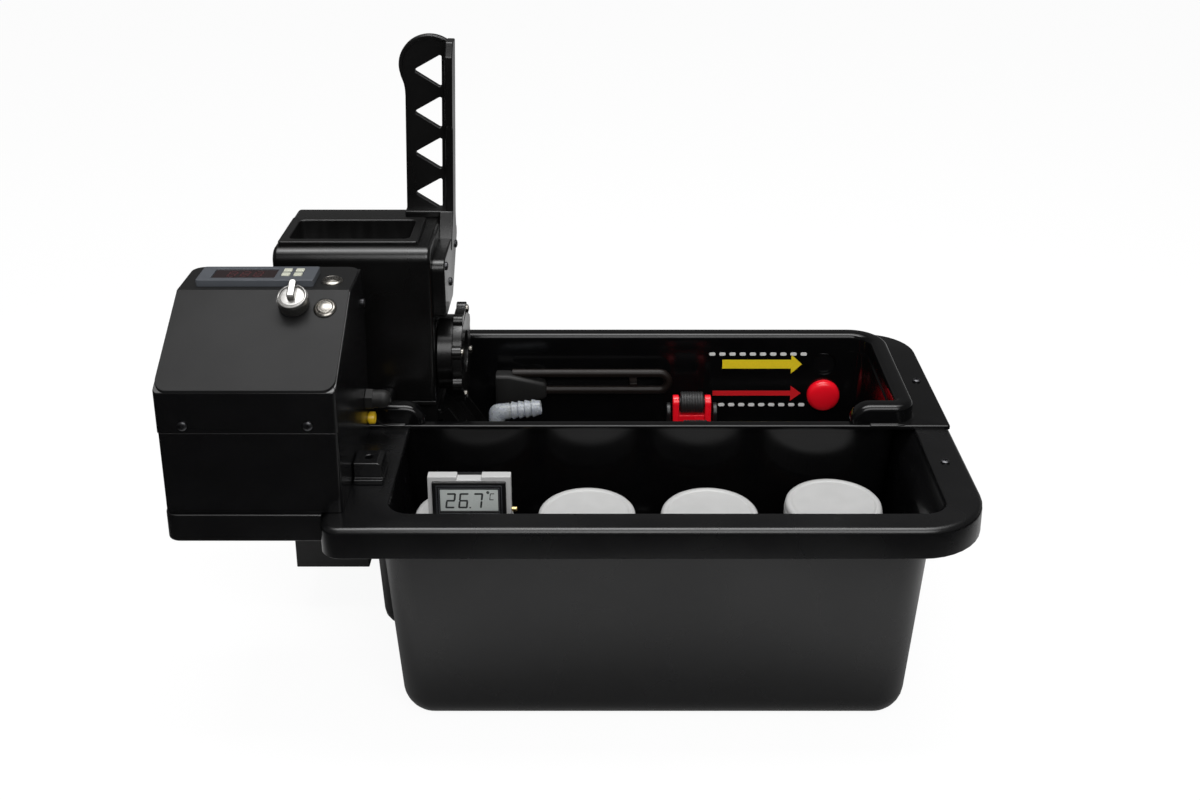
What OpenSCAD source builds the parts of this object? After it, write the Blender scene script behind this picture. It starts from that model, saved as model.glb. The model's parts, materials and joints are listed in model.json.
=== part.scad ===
// Semi-automatic film processor: tub with a drum trough, control box and drum lift.
// Frame: origin on the table below the middle of the tub's flange, x to the right,
// y to the back, z up.

/* [Tub] */
// Length of the flange from left to right
flange_len = 414; // [410:1:424]
// Depth of the flange from front to back
flange_dep = 283; // [281:1:290]
// Height of the flange's top over the table
tub_h = 167; // [160:1:180]
// Height of the skirt round the flange
skirt_h = 20.5; // [16:0.5:24]
// Thickness of the flange and its skirt
flange_t = 3; // [2.4:0.1:3.6]
// Wall of the basin
tub_wall = 3; // [2.4:0.1:3.4]
// Floor of the basin
floor_t = 6; // [5:0.5:8]
// Radius of the flange's top edge
flange_edge_r = 4; // [2:0.5:5]
// Corner radii of the flange: front left, front right, back right, back left
flange_corner_r = [13, 45, 34, 30];
// Outer radius of the basin's corners
basin_r = 21; // [19:1:22]
// Inner radius between the basin's walls and its floor
basin_floor_r = 12; // [8:1:14]
// How far each side wall leans in from top to floor
side_draft = 9.5; // [7:0.5:11]
// How far the front and back walls lean in from top to floor
front_draft = 14.8; // [11:0.2:16]
// Flange to the left of the bottle bay
bay_left = 39; // [37:0.5:41]
// Flange to the right of the bottle bay
bay_right = 25; // [23:0.5:27]
// Flange in front of the bottle bay
bay_front = 20; // [19:0.5:22]
// Corner radius of the bay's opening
bay_corner_r = 15; // [10:1:18]
// Depth of the sloping shoulder on the bay's right side
shoulder_h = 22; // [16:1:26]

/* [Drum trough] */
// Thickness of the trough's flange
trough_flange_t = 3; // [2.4:0.1:3.6]
// Wall of the trough
trough_wall = 2.5; // [2:0.1:3]
// Flange to the left of the trough's opening
trough_left = 26; // [25:0.5:28]
// Flange to the right of the trough's opening
trough_right = 37; // [36:0.5:39]
// Opening of the trough from front to back
trough_dep = 115; // [114:0.5:116]
// Depth of the trough's floor below the flange's top
trough_depth = 78; // [74:1:84]
// How far the trough's side walls lean in
trough_side_draft = 6; // [4:0.5:7]
// How far the trough's front wall leans in
trough_front_draft = 4; // [2:0.5:5]
// Corner radius of the trough in plan
trough_corner_r = 14; // [12:1:15]
// Radius between the trough's walls and its floor
trough_floor_r = 9; // [6:1:10]
// Width of the ledge in front of the trough
ledge_w = 7; // [6:0.5:8]
// Width of the raised rim
rim_w = 13; // [12:0.5:14]
// Height of the raised rim over the flange of the tub
rim_h = 17; // [15:0.5:19]
// Length of the right horn at the rim's front end
horn_len = 38.5; // [36:0.5:42]
// Length of the left horn
left_horn_len = 30; // [28:0.5:38]
// Radius of the level holes
level_hole_r = 9.3; // [8.5:0.1:10]
// Height of the upper level hole's centre below the flange's top
upper_level = 8; // [6:0.5:9]
// Distance between the two level holes
level_pitch = 26; // [26:0.5:28]
// Distance of the level holes from the trough's right side
level_from_right = 32; // [30:1:36]
// Radius of the plug's head
plug_head_r = 12.8; // [11:0.1:13.5]
// Thickness of the plug's head
plug_head_t = 6; // [4:0.5:8]
// Thickness of the marks on the trough's back wall
mark_t = 0.4; // [0.3:0.1:0.6]
// Length of the yellow level arrow
arrow_len = 62; // [50:1:64]

/* [Control box] */
// Width of the control box
box_w = 110.4; // [108:0.2:112]
// Depth of the control box
box_dep = 108.5; // [107:0.5:109]
// Height of the box's front face
box_front_h = 84; // [80:1:88]
// Height of the box's flat top
box_top_h = 123; // [120:1:126]
// Depth of the sloping part of the panel
slope_dep = 64; // [60:1:66]
// Depth of the flat part of the panel
flat_dep = 40; // [38:1:41]
// Height of the seam between the lower shell and the cover
seam_h = 55; // [50:1:60]
// Wall of the box
box_wall = 2.5; // [2:0.1:3]
// Thickness of the panel sheet
panel_t = 1.5; // [1:0.1:2]
// Corner radius of the panel sheet
panel_corner_r = 8; // [5:1:10]
// How far the box stands over the edge of the tub's flange
box_over_flange = 13.3; // [12:0.1:14]
// Depth of the platform's skirt
platform_h = 18.6; // [15:0.1:19]
// Corner radius of the platform
platform_r = 9; // [4:1:12]

/* [Panel controls] */
// Width of the temperature controller's bezel
bezel_w = 75.2; // [73:0.2:76]
// Depth of the controller's bezel
bezel_d = 24; // [23:0.5:25]
// Height of the controller's bezel over the panel
bezel_h = 4.5; // [3.5:0.5:6]
// Width of the display window
window_w = 40.5; // [38:0.5:41]
// Depth of the display window
window_d = 15; // [12:0.5:16]
// Size of one controller key
key_size = [5.4, 5];
// Travel of a controller key
key_travel = 0.8; // [0.5:0.1:1]
// Radius of a push button's bezel
button_bezel_r = 7.2; // [6.5:0.1:7.6]
// Radius of a push button
button_r = 4.9; // [4:0.1:5.2]
// Travel of a push button
button_travel = 1.5; // [1:0.1:2]
// Radius of the selector knob
knob_r = 9.7; // [9:0.1:10.5]
// Height of the selector knob
knob_h = 10.5; // [9:0.5:12]

/* [Drum lift] */
// Width of the lift from left to right
lift_w = 109; // [107:1:111]
// Depth of the lift from front to back
lift_dep = 89; // [87:0.5:90]
// Height of the lift's top over the tub's flange
lift_top_h = 121; // [117:1:125]
// How far the lift reaches out over the left end of the flange
lift_over_left = 55; // [53:0.5:57]
// Gap between the raised rim's back bar and the lift
lift_back_gap = 2; // [1:0.5:3]
// Wall of the lift's housing
lift_wall = 3; // [2.4:0.1:3.4]
// Thickness of the base's top plate
base_plate_t = 3; // [2.5:0.1:3.5]
// Length of the base's outer leg below the flange's top
outer_leg_h = 131; // [110:1:140]
// Length of the base's inner leg below the flange's top
inner_leg_h = 42; // [30:1:50]
// Radius of the hinge knuckle
knuckle_r = 4.5; // [4:0.1:5]
// Radius of the hinge pin
pin_r = 2; // [1.5:0.1:2.2]
// Radius of the housing's front top edge
housing_edge_r = 9; // [6:1:10]
// Height of the funnel's rim over the housing
funnel_rim_h = 3; // [2:0.5:5]
// Height of the lever's tip over the tub's flange
lever_h = 256; // [240:1:260]
// Width of the lever's web
lever_web_w = 30; // [29:0.5:31]
// Thickness of the lever's web
lever_web_t = 5; // [4:0.5:6]
// Depth of the lever's rib
lever_rib_d = 20; // [16:1:22]
// Radius of the paddle at the lever's tip
paddle_r = 22.5; // [19:0.5:23]
// Height of one cut-out in the lever
cutout_h = 24.5; // [20:0.5:26]
// Width of one cut-out in the lever
cutout_w = 20.2; // [17:0.1:21]
// Distance from one cut-out to the next
cutout_pitch = 30.7; // [29:0.1:32]
// Lean of the lever to the right, in degrees
lever_lean = 1.8; // [0:0.1:2.5]
// Thickness of the side plate
side_plate_t = 9; // [6:0.5:9.5]

/* [Drum drive] */
// Height of the spindle over the tub's flange
spindle_h = 30; // [29:0.5:32]
// Outer radius of the hollow spindle
spindle_r = 10; // [9:0.1:10.4]
// Bore radius of the hollow spindle
spindle_bore_r = 6.5; // [6.2:0.1:7]
// Module of the gears
gear_module = 1;
// Teeth of the spindle's gear
gear_teeth = 44;
// Teeth of the motor's pinion
pinion_teeth = 16;
// Width of the gears
gear_w = 7; // [5:0.5:7.5]
// Radius of the motor's gearbox
motor_r = 18; // [16:0.1:18.2]
// Radius of the coupling's hub
hub_r = 27; // [25:0.5:28]
// Radius of the coupling's lugged ring
ring_r = 36; // [34:0.5:37]
// Thickness of the lugged ring
ring_t = 7; // [5:0.5:8]
// Radius of the socket that takes the drum's neck
socket_r = 15; // [13:0.5:17]

/* [Trough fittings] */
// Radius of a drum roller
roller_r = 8; // [7:0.5:9]
// Length of a drum roller
roller_len = 17.5; // [16:0.5:19]
// Half the distance between the two rollers
roller_half_gap = 23; // [20:0.5:25]
// Distance of the roller tops below the tub's flange
roller_top = 15; // [13:0.5:18]
// Outer radius of the pump's elbow
elbow_r = 6; // [5.5:0.1:6.4]
// Bore radius of the pump's elbow
elbow_bore_r = 4; // [3.5:0.1:4.2]
// Radius of the heater's rod
heater_r = 3.25; // [2.5:0.05:3.5]

/* [Bottles] */
// Room left free along the row of bottles
bottle_room = 39.4; // [38:0.1:60]
// Gap between two bottles
bottle_gap = 9.5; // [8:0.5:10]
// Height of a bottle with its cap
bottle_h = 129; // [120:1:132]
// How much narrower a bottle's neck is than the bottle, on each side
neck_in = 7; // [6:0.5:9]
// How much narrower a cap is than its bottle, on each side
cap_in = 3; // [2.5:0.1:4]
// Height of a bottle's cap
cap_h = 20; // [16:0.5:22]
// Width of the thermometer's white holder
holder_w = 54; // [52:0.5:56]
// Height of the thermometer's white holder
holder_h = 34; // [32:0.5:36]

/* [Hidden] */
$fn = 64;
HULL_FN = 32;
STEEL = "#b9bbbd";
BLACK = "#17171a";

// Clearances
slip = 0.05;        // radial, of a shaft in its bore
fit_gap = 0.3;      // between pieces that move past each other
seat_gap = 0.1;     // between pieces that are screwed or set into each other
cut = 1;            // how far a cut runs past a face

// Screws
screw_r = 1.5;
screw_hole_r = 1.6;
screw_head_r = 3;
screw_head_t = 1.8;

// Outline of the flange
x_left = -flange_len / 2;
x_right = flange_len / 2;
y_front = -flange_dep / 2;
y_back = flange_dep / 2;
z_skirt = tub_h - skirt_h;

// Basin: outer walls at the level of the flange's top
basin_x0 = x_left + 31;
basin_x1 = x_right - 30.6;
basin_y0 = y_front + 16.2;
basin_y1 = y_back - 16.2;
bump_x0 = x_left + 4.5;

// Opening of the bottle bay
bay_x0 = x_left + bay_left;
bay_x1 = x_right - bay_right;
bay_y0 = y_front + bay_front;
ledge_y0 = y_back - 155;
bump_y0 = ledge_y0 - 2.5;

// Trough opening at the height of the rim's top
trough_x0 = x_left + trough_left;
trough_x1 = x_right - trough_right;
trough_y0 = ledge_y0 + ledge_w;
trough_y1 = trough_y0 + trough_dep;
trough_z0 = tub_h - trough_depth;
trough_top = tub_h + trough_flange_t;
rim_top = tub_h + rim_h;
rim_r = rim_w / 2;
rim_edge_r = 4.5;
rim_xc = trough_x1 + rim_r;
rim_yc = trough_y1 + rim_r;
rim_xl = trough_x0 - rim_r;
rim_y_horn = ledge_y0 + rim_r + 1;

// Level holes
level_x = trough_x1 - level_from_right;
level_z1 = tub_h - upper_level;
level_z2 = level_z1 - level_pitch;

// Control box
box_x1 = x_left + box_over_flange;
box_x0 = box_x1 - box_w;
box_y1 = ledge_y0 - 0.5;
box_y0 = box_y1 - box_dep;
box_seam = tub_h + seam_h;
box_front_z = tub_h + box_front_h;
box_top_z = tub_h + box_top_h;
slope_y1 = box_y0 + slope_dep;
flat_y1 = slope_y1 + flat_dep;
back_top_z = box_top_z - 10;
slope_a = atan((box_top_h - box_front_h) / slope_dep);
slope_len = norm([slope_dep, box_top_h - box_front_h]);

// Panel controls, as distances from the box's right side and along the panel
knob_x = box_x1 - 33.5;
knob_u = slope_len - 12.5;
lower_button_x = box_x1 - 14;
lower_button_u = slope_len - 14.4;
upper_button_x = box_x1 - 14.2;
upper_button_u = 14.6;
bezel_x0 = box_x0 + 10.8;
bezel_u0 = 5.1;
window_x0 = bezel_x0 + 8.9;
keys_x0 = window_x0 + window_w + 3.7;
key_pitch = [7.8, 7.2];

// Inlet in the box's left side, gland and fuse in its right side
inlet_y = box_y0 + 70;
inlet_z = tub_h + 26;
gland_y = box_y1 - 12;
gland_z = tub_h + 30;
fuse_y = box_y1 - 7;
fuse_z = tub_h + 13;

// Lift
lift_x0 = x_left - lift_over_left;
lift_x1 = lift_x0 + lift_w;
lift_y1 = trough_y1 - lift_back_gap;
lift_y0 = lift_y1 - lift_dep;
base_top = trough_top + base_plate_t;
head_z0 = base_top + 0.5;
lift_top = tub_h + lift_top_h;
cover_y0 = lift_y1 - lift_wall;
pivot_x = lift_x0 + knuckle_r;
pivot_z = head_z0 + knuckle_r;
ear_len = 10;
ear_y = [lift_y0 + 17, lift_y0 + 61];

// Spindle and its drive
spindle_y = lift_y0 + 33;
spindle_z = tub_h + spindle_h;
bearing_r = spindle_r + 6;
bearing_w = 7;
boss_len = 19;
gear_x0 = lift_x1 - boss_len - 2 - gear_w;
gear_distance = gear_module * (gear_teeth + pinion_teeth) / 2;
motor_angle = 22;
motor_y = spindle_y + gear_distance * cos(motor_angle);
motor_z = spindle_z + gear_distance * sin(motor_angle);
bulkhead_x1 = gear_x0 - 3;
bulkhead_x0 = bulkhead_x1 - 3;
hub_x0 = lift_x1 + 0.6;
hub_x1 = lift_x1 + 12;
ring_x1 = hub_x1 + ring_t;
socket_len = 10;

// Funnel
funnel_x0 = lift_x0 + 2.5;
funnel_x1 = lift_x1 - 9.5;
funnel_y0 = lift_y0 + housing_edge_r;
funnel_y1 = lift_y0 + 61;
funnel_rim_w = 6.5;
funnel_wall = 2;
funnel_depth = 40;
spout_r = 6.5;
spout_bore_r = 4.5;
spout_x = gear_x0 - 9;
funnel_top = lift_top + funnel_rim_h;

// Screws of the lift's back cover
cover_in = 6;
cover_screws = [
    [lift_x0 + cover_in, lift_top - cover_in], [lift_x1 - cover_in, lift_top - cover_in],
    [lift_x0 + cover_in, head_z0 + 22], [lift_x1 - cover_in, head_z0 + 14]
];

// Lever
lever_x1 = lift_x1 + 9.5;
rib_t = 5.5;
rib_x0 = lever_x1 - rib_t;
web_x0 = rib_x0 - lever_web_w;
web_y1 = cover_y0 - 4;
web_y0 = web_y1 - lever_web_t;
lever_top = tub_h + lever_h;
side_plate_z0 = tub_h + 66.5;
side_plate_z1 = lift_top - 11;
side_plate_y0 = lift_y0 + 6;
side_plate_y1 = lift_y1;
side_plate_screws = [[8, 37.5], [30, 17], [68, 32]];

// Trough fittings
roller_x = trough_x0 + 214;
roller_z = tub_h - roller_top - roller_r;
yoke_w = roller_len + 11.5;
carriage_t = 4;
carriage_len = 46;
rail_gap = 40;
pump_x0 = lift_x1 + 26;
pump_size = [42, 44, 33];
pump_y0 = spindle_y - 24;
elbow_x = pump_x0 + 14;
elbow_z = tub_h - 19;
heater_z1 = tub_h - 10;
heater_z2 = tub_h - 24;
heater_y = trough_y1 - 12;
heater_x0 = lift_x1 + 49;
heater_len = 120;

// Bottles: the first stands beside the bay's left wall
bottle_z0 = floor_t;
bottle_row = basin_x1 - basin_x0 - 2 * (tub_wall + side_draft) - bottle_room;
bottle_y0 = basin_y0 + tub_wall + front_draft + 4;
bottle_y1 = trough_y0 - trough_wall - 10.5;
bottle_r = min(bottle_row / 8, (bottle_y1 - bottle_y0) / 2);
cap_r = bottle_r - cap_in;
neck_r = bottle_r - neck_in;
bottle_x1 = basin_x0 + tub_wall + side_draft + 1.7 + bottle_r;
bottle_y = bottle_y0 + bottle_r;
bottle_pitch = 2 * bottle_r + bottle_gap;
bottle_wall = 1.6;
cap_top = bottle_z0 + bottle_h;
neck_top = cap_top - 3;
shoulder_z = cap_top - cap_h - 2;
holder_x0 = bottle_x1 - 21.5;
holder_y0 = bottle_y - 14;
holder_t = 7;
holder_z0 = cap_top;
bezel_frame = [48, 28.6];

function bottle_pos(i) = [bottle_x1 + i * bottle_pitch + (i == 3 ? 2.5 : 0), i == 3 ? bottle_y1 - bottle_r : bottle_y];

// Rails on the inner side of the front wall
rail_z = tub_h - 30.5;
rail_h = 12;
rail_t = 7;
rail_screw_x = [x_left + 108, x_left + 189.5, x_left + 217, x_left + 300];
front_slope = front_draft / (tub_h - 1.5 - (basin_r - 0.6));
function front_wall_y(z) = basin_y0 + front_slope * (tub_h - 1.5 - z);

// Screws that stand upright in the flanges
trough_screws = [[x_right - 9, y_front + 198], [x_left + 14, y_back - 12], [0, y_back - 9]];
flange_screw = [x_right - 14, y_front + 83];

// Outline with a radius at each corner: front left, front right, back right, back left
module rounded_plan(x0, x1, y0, y1, r) {
    polygon([
        [x0 + r[0], y0], [x1 - r[1], y0], [x1, y0 + r[1]], [x1, y1 - r[2]],
        [x1 - r[2], y1], [x0 + r[3], y1], [x0, y1 - r[3]], [x0, y0 + r[0]]
    ]);
    translate([x0 + r[0], y0 + r[0]]) circle(r[0]);
    translate([x1 - r[1], y0 + r[1]]) circle(r[1]);
    translate([x1 - r[2], y1 - r[2]]) circle(r[2]);
    translate([x0 + r[3], y1 - r[3]]) circle(r[3]);
}

module rounded_block(x0, x1, y0, y1, z0, z1, r) {
    translate([0, 0, z0]) linear_extrude(z1 - z0) rounded_plan(x0, x1, y0, y1, [r, r, r, r]);
}

module block(x0, x1, y0, y1, z0, z1) {
    translate([x0, y0, z0]) cube([x1 - x0, y1 - y0, z1 - z0]);
}

// A (y, z) outline drawn out along x
module along_x(x0, x1) {
    translate([x0, 0, 0]) rotate([90, 0, 90]) linear_extrude(x1 - x0) children();
}

// An (x, z) outline drawn out along y
module along_y(y0, y1) {
    translate([0, y1, 0]) rotate([90, 0, 0]) linear_extrude(y1 - y0) children();
}

module rod_x(x0, x1, y, z, r) {
    translate([x0, y, z]) rotate([0, 90, 0]) cylinder(h = x1 - x0, r = r);
}

module rod_y(y0, y1, x, z, r) {
    translate([x, y0, z]) rotate([-90, 0, 0]) cylinder(h = y1 - y0, r = r);
}

module rod_z(z0, z1, x, y, r) {
    translate([x, y, z0]) cylinder(h = z1 - z0, r = r);
}

// Corner of a basin: a disc of radius r whose lower edge is rounded with edge_r
module corner_disc(r, edge_r) {
    rotate_extrude($fn = HULL_FN) {
        intersection() {
            translate([r - edge_r, edge_r]) circle(edge_r, $fn = HULL_FN);
            square([r, edge_r]);
        }
        square([max(r - edge_r, 0.5), edge_r]);
    }
}

// Drafted basin: walls at z1 pass through the given corners and lean in by lean = [x0, x1, y0, y1]
module basin(x0, x1, y0, y1, z0, z1, r, edge_r, lean) {
    hull() {
        for (ix = [0, 1], iy = [0, 1]) {
            top_x = ix == 0 ? x0 + r : x1 - r;
            top_y = iy == 0 ? y0 + r : y1 - r;
            dx = ix == 0 ? lean[0] : -lean[1];
            dy = iy == 0 ? lean[2] : -lean[3];
            translate([top_x, top_y, z1 - 0.5]) cylinder(h = 0.5, r = r, $fn = HULL_FN);
            translate([top_x + dx, top_y + dy, z0]) corner_disc(r, edge_r);
        }
    }
}

// Pan-head screw along z with its head's lower face at the origin
module pan_screw(len) {
    translate([0, 0, -len]) cylinder(h = len + 0.1, r = screw_r, $fn = 24);
    difference() {
        cylinder(h = screw_head_t, r1 = screw_head_r, r2 = screw_head_r - 0.8, $fn = 32);
        for (a = [0, 90]) {
            rotate([0, 0, a]) translate([-0.4, -1.7, screw_head_t - 0.8]) cube([0.8, 3.4, cut]);
        }
    }
}

module at_slope(x, u) {
    translate([x, box_y0 + u * cos(slope_a), box_front_z + u * sin(slope_a)]) rotate([slope_a, 0, 0]) children();
}

module at_flat(x, u) {
    translate([x, slope_y1 + u, box_top_z]) children();
}

// Normal to the front wall of the tub, pointing out, at a height z
module at_front_wall(x, z) {
    translate([x, front_wall_y(z), z]) rotate([90 + atan(front_slope), 0, 0]) children();
}

module front_screw_places() {
    for (x = rail_screw_x) at_front_wall(x, rail_z) translate([0, 0, seat_gap]) children();
}

// Spur gear along z from the origin, with involute flanks
function involute(base_r, t) = [base_r * (cos(t) + t * PI / 180 * sin(t)), base_r * (sin(t) - t * PI / 180 * cos(t))];
function turned(p, a) = [p[0] * cos(a) - p[1] * sin(a), p[0] * sin(a) + p[1] * cos(a)];
module gear_outline(teeth, m) {
    pitch_r = m * teeth / 2;
    base_r = pitch_r * cos(20);
    tip_r = pitch_r + 0.9 * m;
    root_r = pitch_r - 1.2 * m;
    t_pitch = sqrt(pow(pitch_r / base_r, 2) - 1) * 180 / PI;
    t_tip = sqrt(pow(tip_r / base_r, 2) - 1) * 180 / PI;
    flank_a = t_pitch - 20;
    half_a = 90 / teeth - 0.09 * m / pitch_r * 180 / PI;
    steps = 4;
    flank = [for (i = [0:steps]) turned(involute(base_r, t_tip * i / steps), -flank_a - half_a)];
    mirrored = [for (i = [steps:-1:0]) [flank[i][0], -flank[i][1]]];
    circle(root_r, $fn = 4 * teeth);
    for (k = [0:teeth - 1]) {
        rotate(k * 360 / teeth) {
            polygon(concat([turned([root_r - 0.5, 0], -flank_a - half_a)], flank, mirrored, [turned([root_r - 0.5, 0], flank_a + half_a)]));
        }
    }
}

// The tub

module flange_solid() {
    hull() {
        corners = [
            [x_left, y_front, 1, 1, flange_corner_r[0]], [x_right, y_front, -1, 1, flange_corner_r[1]],
            [x_right, y_back, -1, -1, flange_corner_r[2]], [x_left, y_back, 1, -1, flange_corner_r[3]]
        ];
        for (c = corners) {
            translate([c[0] + c[2] * c[4], c[1] + c[3] * c[4], tub_h]) mirror([0, 0, 1]) corner_disc(c[4], flange_edge_r);
            translate([c[0] + c[2] * c[4], c[1] + c[3] * c[4], z_skirt]) cylinder(h = cut, r = c[4], $fn = HULL_FN);
        }
    }
}

// Hollow under the flange between its skirt and the collar round the opening
module flange_underside() {
    t = flange_t;
    r = flange_corner_r;
    collar_x0 = basin_x0 - 1;
    collar_x1 = bay_x1 + 9;
    collar_y0 = basin_y0 - 5;
    collar_y1 = basin_y1 + 2;
    difference() {
        translate([0, 0, z_skirt - cut]) {
            linear_extrude(skirt_h + cut - t) {
                rounded_plan(x_left + t, x_right - t, y_front + t, y_back - t, [for (v = r) v - t]);
            }
        }
        rounded_block(collar_x0, collar_x1, collar_y0, collar_y1, z_skirt - 2, tub_h, basin_r);
        block(x_left, basin_x0 + basin_r, bump_y0 - 2, collar_y1, z_skirt - 2, tub_h);
    }
}

module tub_body() {
    inner_r = basin_r - tub_wall;
    lean = [side_draft, side_draft, front_draft, front_draft];
    inner_lean = lean * (tub_h - floor_t) / tub_h;
    color(BLACK)
    difference() {
        union() {
            flange_solid();
            basin(basin_x0, basin_x1, basin_y0, basin_y1, 0, tub_h - 1, basin_r, basin_r - 0.6, lean);
            basin(bump_x0, 0, bump_y0, basin_y1, 0, tub_h - 1, basin_r, basin_r - 0.6, [side_draft, 0, 0, front_draft]);
        }
        flange_underside();
        basin(
            basin_x0 + tub_wall, basin_x1 - tub_wall, basin_y0 + tub_wall, basin_y1 - tub_wall,
            floor_t, tub_h - flange_t, inner_r, basin_floor_r, inner_lean
        );
        basin(
            bump_x0 + tub_wall, 0, bump_y0 + tub_wall, basin_y1 - tub_wall,
            floor_t, tub_h - flange_t, inner_r, basin_floor_r, [side_draft, 0, 0, front_draft] * (tub_h - floor_t) / tub_h
        );
        // Opening of the bay with its sloping right shoulder
        hull() {
            rounded_block(bay_x0, bay_x1, bay_y0, ledge_y0 + 20, tub_h, tub_h + cut, bay_corner_r);
            rounded_block(bay_x0, basin_x1 - tub_wall - 2, bay_y0, ledge_y0 + 20, tub_h - shoulder_h, tub_h - shoulder_h + 1, bay_corner_r);
        }
        // Opening that takes the trough
        rounded_block(
            trough_x0 - trough_wall - 1.5, trough_x1 + trough_wall + 1.5, ledge_y0 + 2,
            trough_y1 + trough_wall + 1, tub_h - shoulder_h, tub_h + cut, trough_corner_r
        );
        front_screw_places() translate([0, 0, -tub_wall - 3]) cylinder(h = tub_wall + 6, r = screw_hole_r);
        for (p = trough_screws) rod_z(tub_h - 12, tub_h + cut, p[0], p[1], screw_hole_r);
        rod_z(tub_h - 12, tub_h + cut, flange_screw[0], flange_screw[1], screw_hole_r);
        for (y = [box_y0 + 25, box_y1 - 25]) {
            rod_x(x_left - cut, x_left + flange_t + cut, y, z_skirt + 8, screw_hole_r);
        }
    }
}

// Section of the raised rim, with its two rounded edges
module rim_profile() {
    top = rim_h - trough_flange_t;
    translate([-rim_r, 0]) square([rim_w, top - rim_edge_r]);
    translate([rim_edge_r - rim_r, 0]) square([rim_w - 2 * rim_edge_r, top]);
    for (side = [-1, 1]) translate([side * (rim_r - rim_edge_r), top - rim_edge_r]) circle(rim_edge_r);
}

module rim_bar(len) {
    rotate([90, 0, 180]) linear_extrude(len) rim_profile();
}

module rim_corner(mid_r, start) {
    rotate([0, 0, start]) rotate_extrude(angle = 90) translate([mid_r, 0]) rim_profile();
}

module raised_rim() {
    back_r = trough_corner_r + rim_r;
    front_r = rim_r + 1.5;
    translate([rim_xc, rim_y_horn + front_r, trough_top]) rim_bar(rim_yc - back_r - rim_y_horn - front_r);
    translate([rim_xc - back_r, rim_yc - back_r, trough_top]) rim_corner(back_r, 0);
    translate([rim_xl + back_r, rim_yc, trough_top]) rotate([0, 0, -90]) rim_bar(rim_xc - rim_xl - 2 * back_r);
    translate([rim_xl + back_r, rim_yc - back_r, trough_top]) {
        intersection() {
            rim_corner(back_r, 90);
            block(-back_r - rim_w, cut, lift_y1 + 0.5 - rim_yc + back_r, back_r + rim_w, 0, rim_h);
        }
    }
}

module rim_horns() {
    front_r = rim_r + 1.5;
    nose_r = rim_h - trough_flange_t;
    left_end = lift_y0 - 1;
    translate([rim_xc - front_r, rim_y_horn + front_r, trough_top]) rim_corner(front_r, -90);
    translate([rim_xc - horn_len + nose_r, rim_y_horn, trough_top]) rotate([0, 0, -90]) rim_bar(horn_len - front_r - nose_r);
    translate([rim_xc - horn_len + nose_r, rim_y_horn, trough_top]) rotate([0, 0, 90]) rim_end();
    translate([rim_xl + front_r, rim_y_horn + front_r, trough_top]) rim_corner(front_r, 180);
    translate([rim_xl + front_r, rim_y_horn, trough_top]) rotate([0, 0, -90]) rim_bar(left_horn_len - front_r - nose_r);
    translate([rim_xl + left_horn_len - nose_r, rim_y_horn, trough_top]) rotate([0, 0, -90]) rim_end();
    translate([rim_xl, rim_y_horn + front_r, trough_top]) rim_bar(left_end - rim_y_horn - front_r);
}

// Quarter wheel that brings the rim down to the flange; it starts at the origin and runs off to +y
module rim_end() {
    nose_r = rim_h - trough_flange_t;
    intersection() {
        rotate([0, 90, 0]) {
            rotate_extrude() {
                translate([0, -rim_r]) square([nose_r - rim_edge_r, rim_w]);
                translate([0, rim_edge_r - rim_r]) square([nose_r, rim_w - 2 * rim_edge_r]);
                for (side = [-1, 1]) translate([nose_r - rim_edge_r, side * (rim_r - rim_edge_r)]) circle(rim_edge_r);
            }
        }
        translate([-rim_w, 0, 0]) cube([2 * rim_w, 2 * nose_r, 2 * nose_r]);
    }
}

module drum_trough() {
    lean = [trough_side_draft, trough_side_draft, trough_front_draft, 0];
    w = trough_wall;
    color("#0e0e10") {
        difference() {
            union() {
                translate([0, 0, tub_h]) {
                    linear_extrude(trough_flange_t) {
                        rounded_plan(x_left, x_right, ledge_y0, y_back, [2, 2, flange_corner_r[2], flange_corner_r[3]]);
                    }
                }
                raised_rim();
                basin(
                    trough_x0 - w, trough_x1 + w, trough_y0 - w, trough_y1 + w,
                    trough_z0 - w, tub_h + 1, trough_corner_r + w, trough_floor_r + w, lean
                );
            }
            basin(
                trough_x0, trough_x1, trough_y0, trough_y1,
                trough_z0, rim_top + cut, trough_corner_r, trough_floor_r, lean
            );
            for (z = [level_z1, level_z2]) rod_y(trough_y1 - cut, trough_y1 + w + cut, level_x, z, level_hole_r);
            for (p = trough_screws) rod_z(tub_h - cut, trough_top + cut, p[0], p[1], screw_hole_r);
        }
        rim_horns();
        for (side = [-1, 1]) {
            block(
                pump_x0 + pump_size[0] + 8, trough_x1 - 60, spindle_y + side * rail_gap / 2 - 1.5, spindle_y + side * rail_gap / 2 + 1.5,
                trough_z0 - 0.5, trough_z0 + 3
            );
        }
    }
}

module arrow(len, body_h, head_h, head_len) {
    polygon([
        [0, -body_h / 2], [len - head_len, -body_h / 2], [len - head_len, -head_h / 2], [len, 0],
        [len - head_len, head_h / 2], [len - head_len, body_h / 2], [0, body_h / 2]
    ]);
}

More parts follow.
